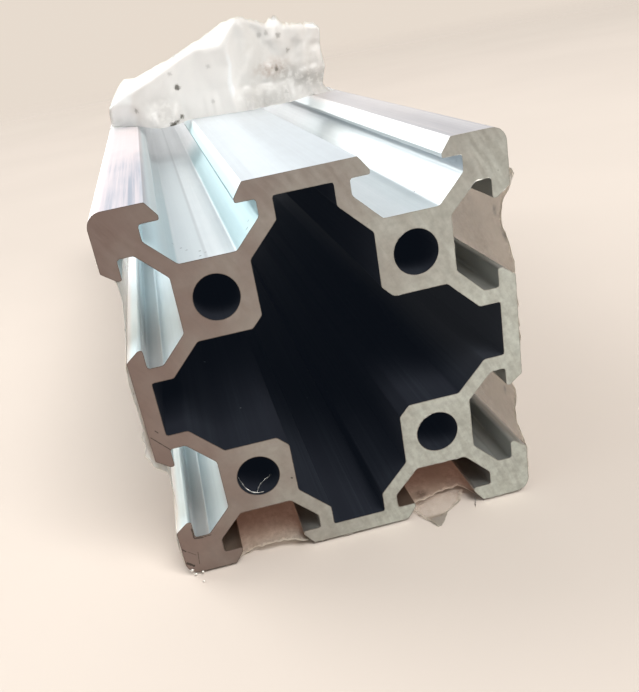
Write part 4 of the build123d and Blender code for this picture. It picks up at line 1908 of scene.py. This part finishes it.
@dataclass
class Studio:
    """A plain pale floor, a soft sky that is brightest behind on the left, and two wide soft lamps."""

    floor_corners: int = 96
    floor_rings: tuple[float, ...] = (0.0001, 0.2, 0.8, 1.4)
    sky_span: Point = (-0.25, 0.75)
    sky_low: float = 0.12
    sky_high: float = 1.05
    sky_towards: Place = (-0.75, 0.55, 0.35)
    sky_colour: Colour = (0.96, 0.985, 1.0)
    backdrop: Colour = (0.80, 0.71, 0.62)
    backdrop_strength: float = 1.0
    lamps: tuple[Lamp, ...] = (
        Lamp("window_lamp", (-1.2, 1.2, 1.2), 1.3, 30.0),
        Lamp("fill_lamp", (0.5, -1.1, 1.4), 1.0, 46.0),
    )

    def floor(self) -> Piece:
        """Make the floor: a disc whose points lie on rings, at the height of 0."""
        turn = np.linspace(0.0, 2 * math.pi, self.floor_corners, endpoint=False)
        rings = np.array(self.floor_rings) / MM
        x, y = np.outer(np.cos(turn), rings), np.outer(np.sin(turn), rings)
        points = np.stack([x, y, np.full_like(x, -AXIS_HEIGHT)], axis=2).reshape(-1, 3)
        faces = grid_faces(self.floor_corners, len(rings), closed_across=True)[:, ::-1]
        piece = make_piece("floor", points, faces, FloorFinish().material(), False)
        return piece

    def sky(self) -> None:
        """Make the sky: its light grows smoothly from the near right to the far left."""
        world = bpy.data.worlds.new("soft_sky")
        world.use_nodes = True
        graph = Graph(world.node_tree)
        output = graph.add("ShaderNodeOutputWorld")
        direction = graph.add("ShaderNodeTexCoord").outputs["Generated"]
        towards = np.array(self.sky_towards) / np.linalg.norm(self.sky_towards)
        facing = graph.vector("DOT_PRODUCT", direction, tuple(towards))
        strength = graph.remap(facing, *self.sky_span, self.sky_low, self.sky_high)
        light, plain = (
            graph.fill(graph.add("ShaderNodeBackground"), Color=(*colour, 1.0), Strength=level)
            for colour, level in ((self.sky_colour, strength), (self.backdrop, self.backdrop_strength))
        )
        seen = graph.add("ShaderNodeLightPath").outputs["Is Camera Ray"]
        mixer = graph.add("ShaderNodeMixShader")
        for socket, value in zip(mixer.inputs, (seen, light.outputs[0], plain.outputs[0])):
            graph.feed(socket, value)
        graph.feed(output.inputs["Surface"], mixer.outputs[0])
        bpy.context.scene.world = world

    def build(self) -> None:
        """Build the floor, the sky and the lamps."""
        self.floor()
        self.sky()
        for lamp in self.lamps:
            lamp.hang()


@dataclass
class Viewpoint:
    """The photograph's camera: close to the sawn end, a little above and to the left."""

    place: Place = (-0.012056, -0.153854, 0.053080)
    across: Place = (0.96710815, -0.18651501, -0.17295655)
    up: Place = (0.23788202, 0.42239462, 0.87463988)
    ahead: Place = (0.09007755, 0.88701462, -0.45286985)
    lens: float = 47.305
    shift: Point = (0.01735, 0.15024)

    def build(self) -> None:
        """Make the camera and give it to the scene."""
        data = bpy.data.cameras.new("viewpoint")
        data.sensor_fit = "HORIZONTAL"
        data.sensor_width = 36.0
        data.lens = self.lens
        data.shift_x, data.shift_y = self.shift
        data.clip_start, data.clip_end = 0.005, 50.0
        camera = bpy.data.objects.new("viewpoint", data)
        frame = np.eye(4)
        frame[:3, :4] = np.stack([self.across, self.up, -np.array(self.ahead), self.place], axis=1)
        camera.matrix_world = Matrix(frame.tolist())
        bpy.context.scene.collection.objects.link(camera)
        bpy.context.scene.camera = camera


def report(piece: Piece) -> None:
    """Log a piece's name and its number of faces."""
    LOG.info("%s: %d faces", piece.name, len(piece.data.polygons))


def main() -> None:
    """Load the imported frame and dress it."""
    logging.basicConfig(level=logging.INFO, format="%(name)s: %(message)s")
    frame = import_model()
    bpy.context.scene.view_settings.view_transform = "Standard"

    Viewpoint().build()
    SharedEffects().build()
    Studio().build()

    profile = frame["nodes"]["extrusion_profile"]
    profile.material_slots[0].material = ProfileFinish().material()
    report(profile)
    for piece in PackingFilm(FilmFinish().material()).build():
        report(piece)
    report(SawnEdgeBurrs(BareMetalFinish().material()).build(profile))
    bright = BareMetalFinish("bright_swarf", (0.95, 0.94, 0.90), (0.66, 0.64, 0.58), (0.9, 0.9, 0.9))
    report(Swarf(bright.material()).build())


if __name__ == "__main__":
    main()
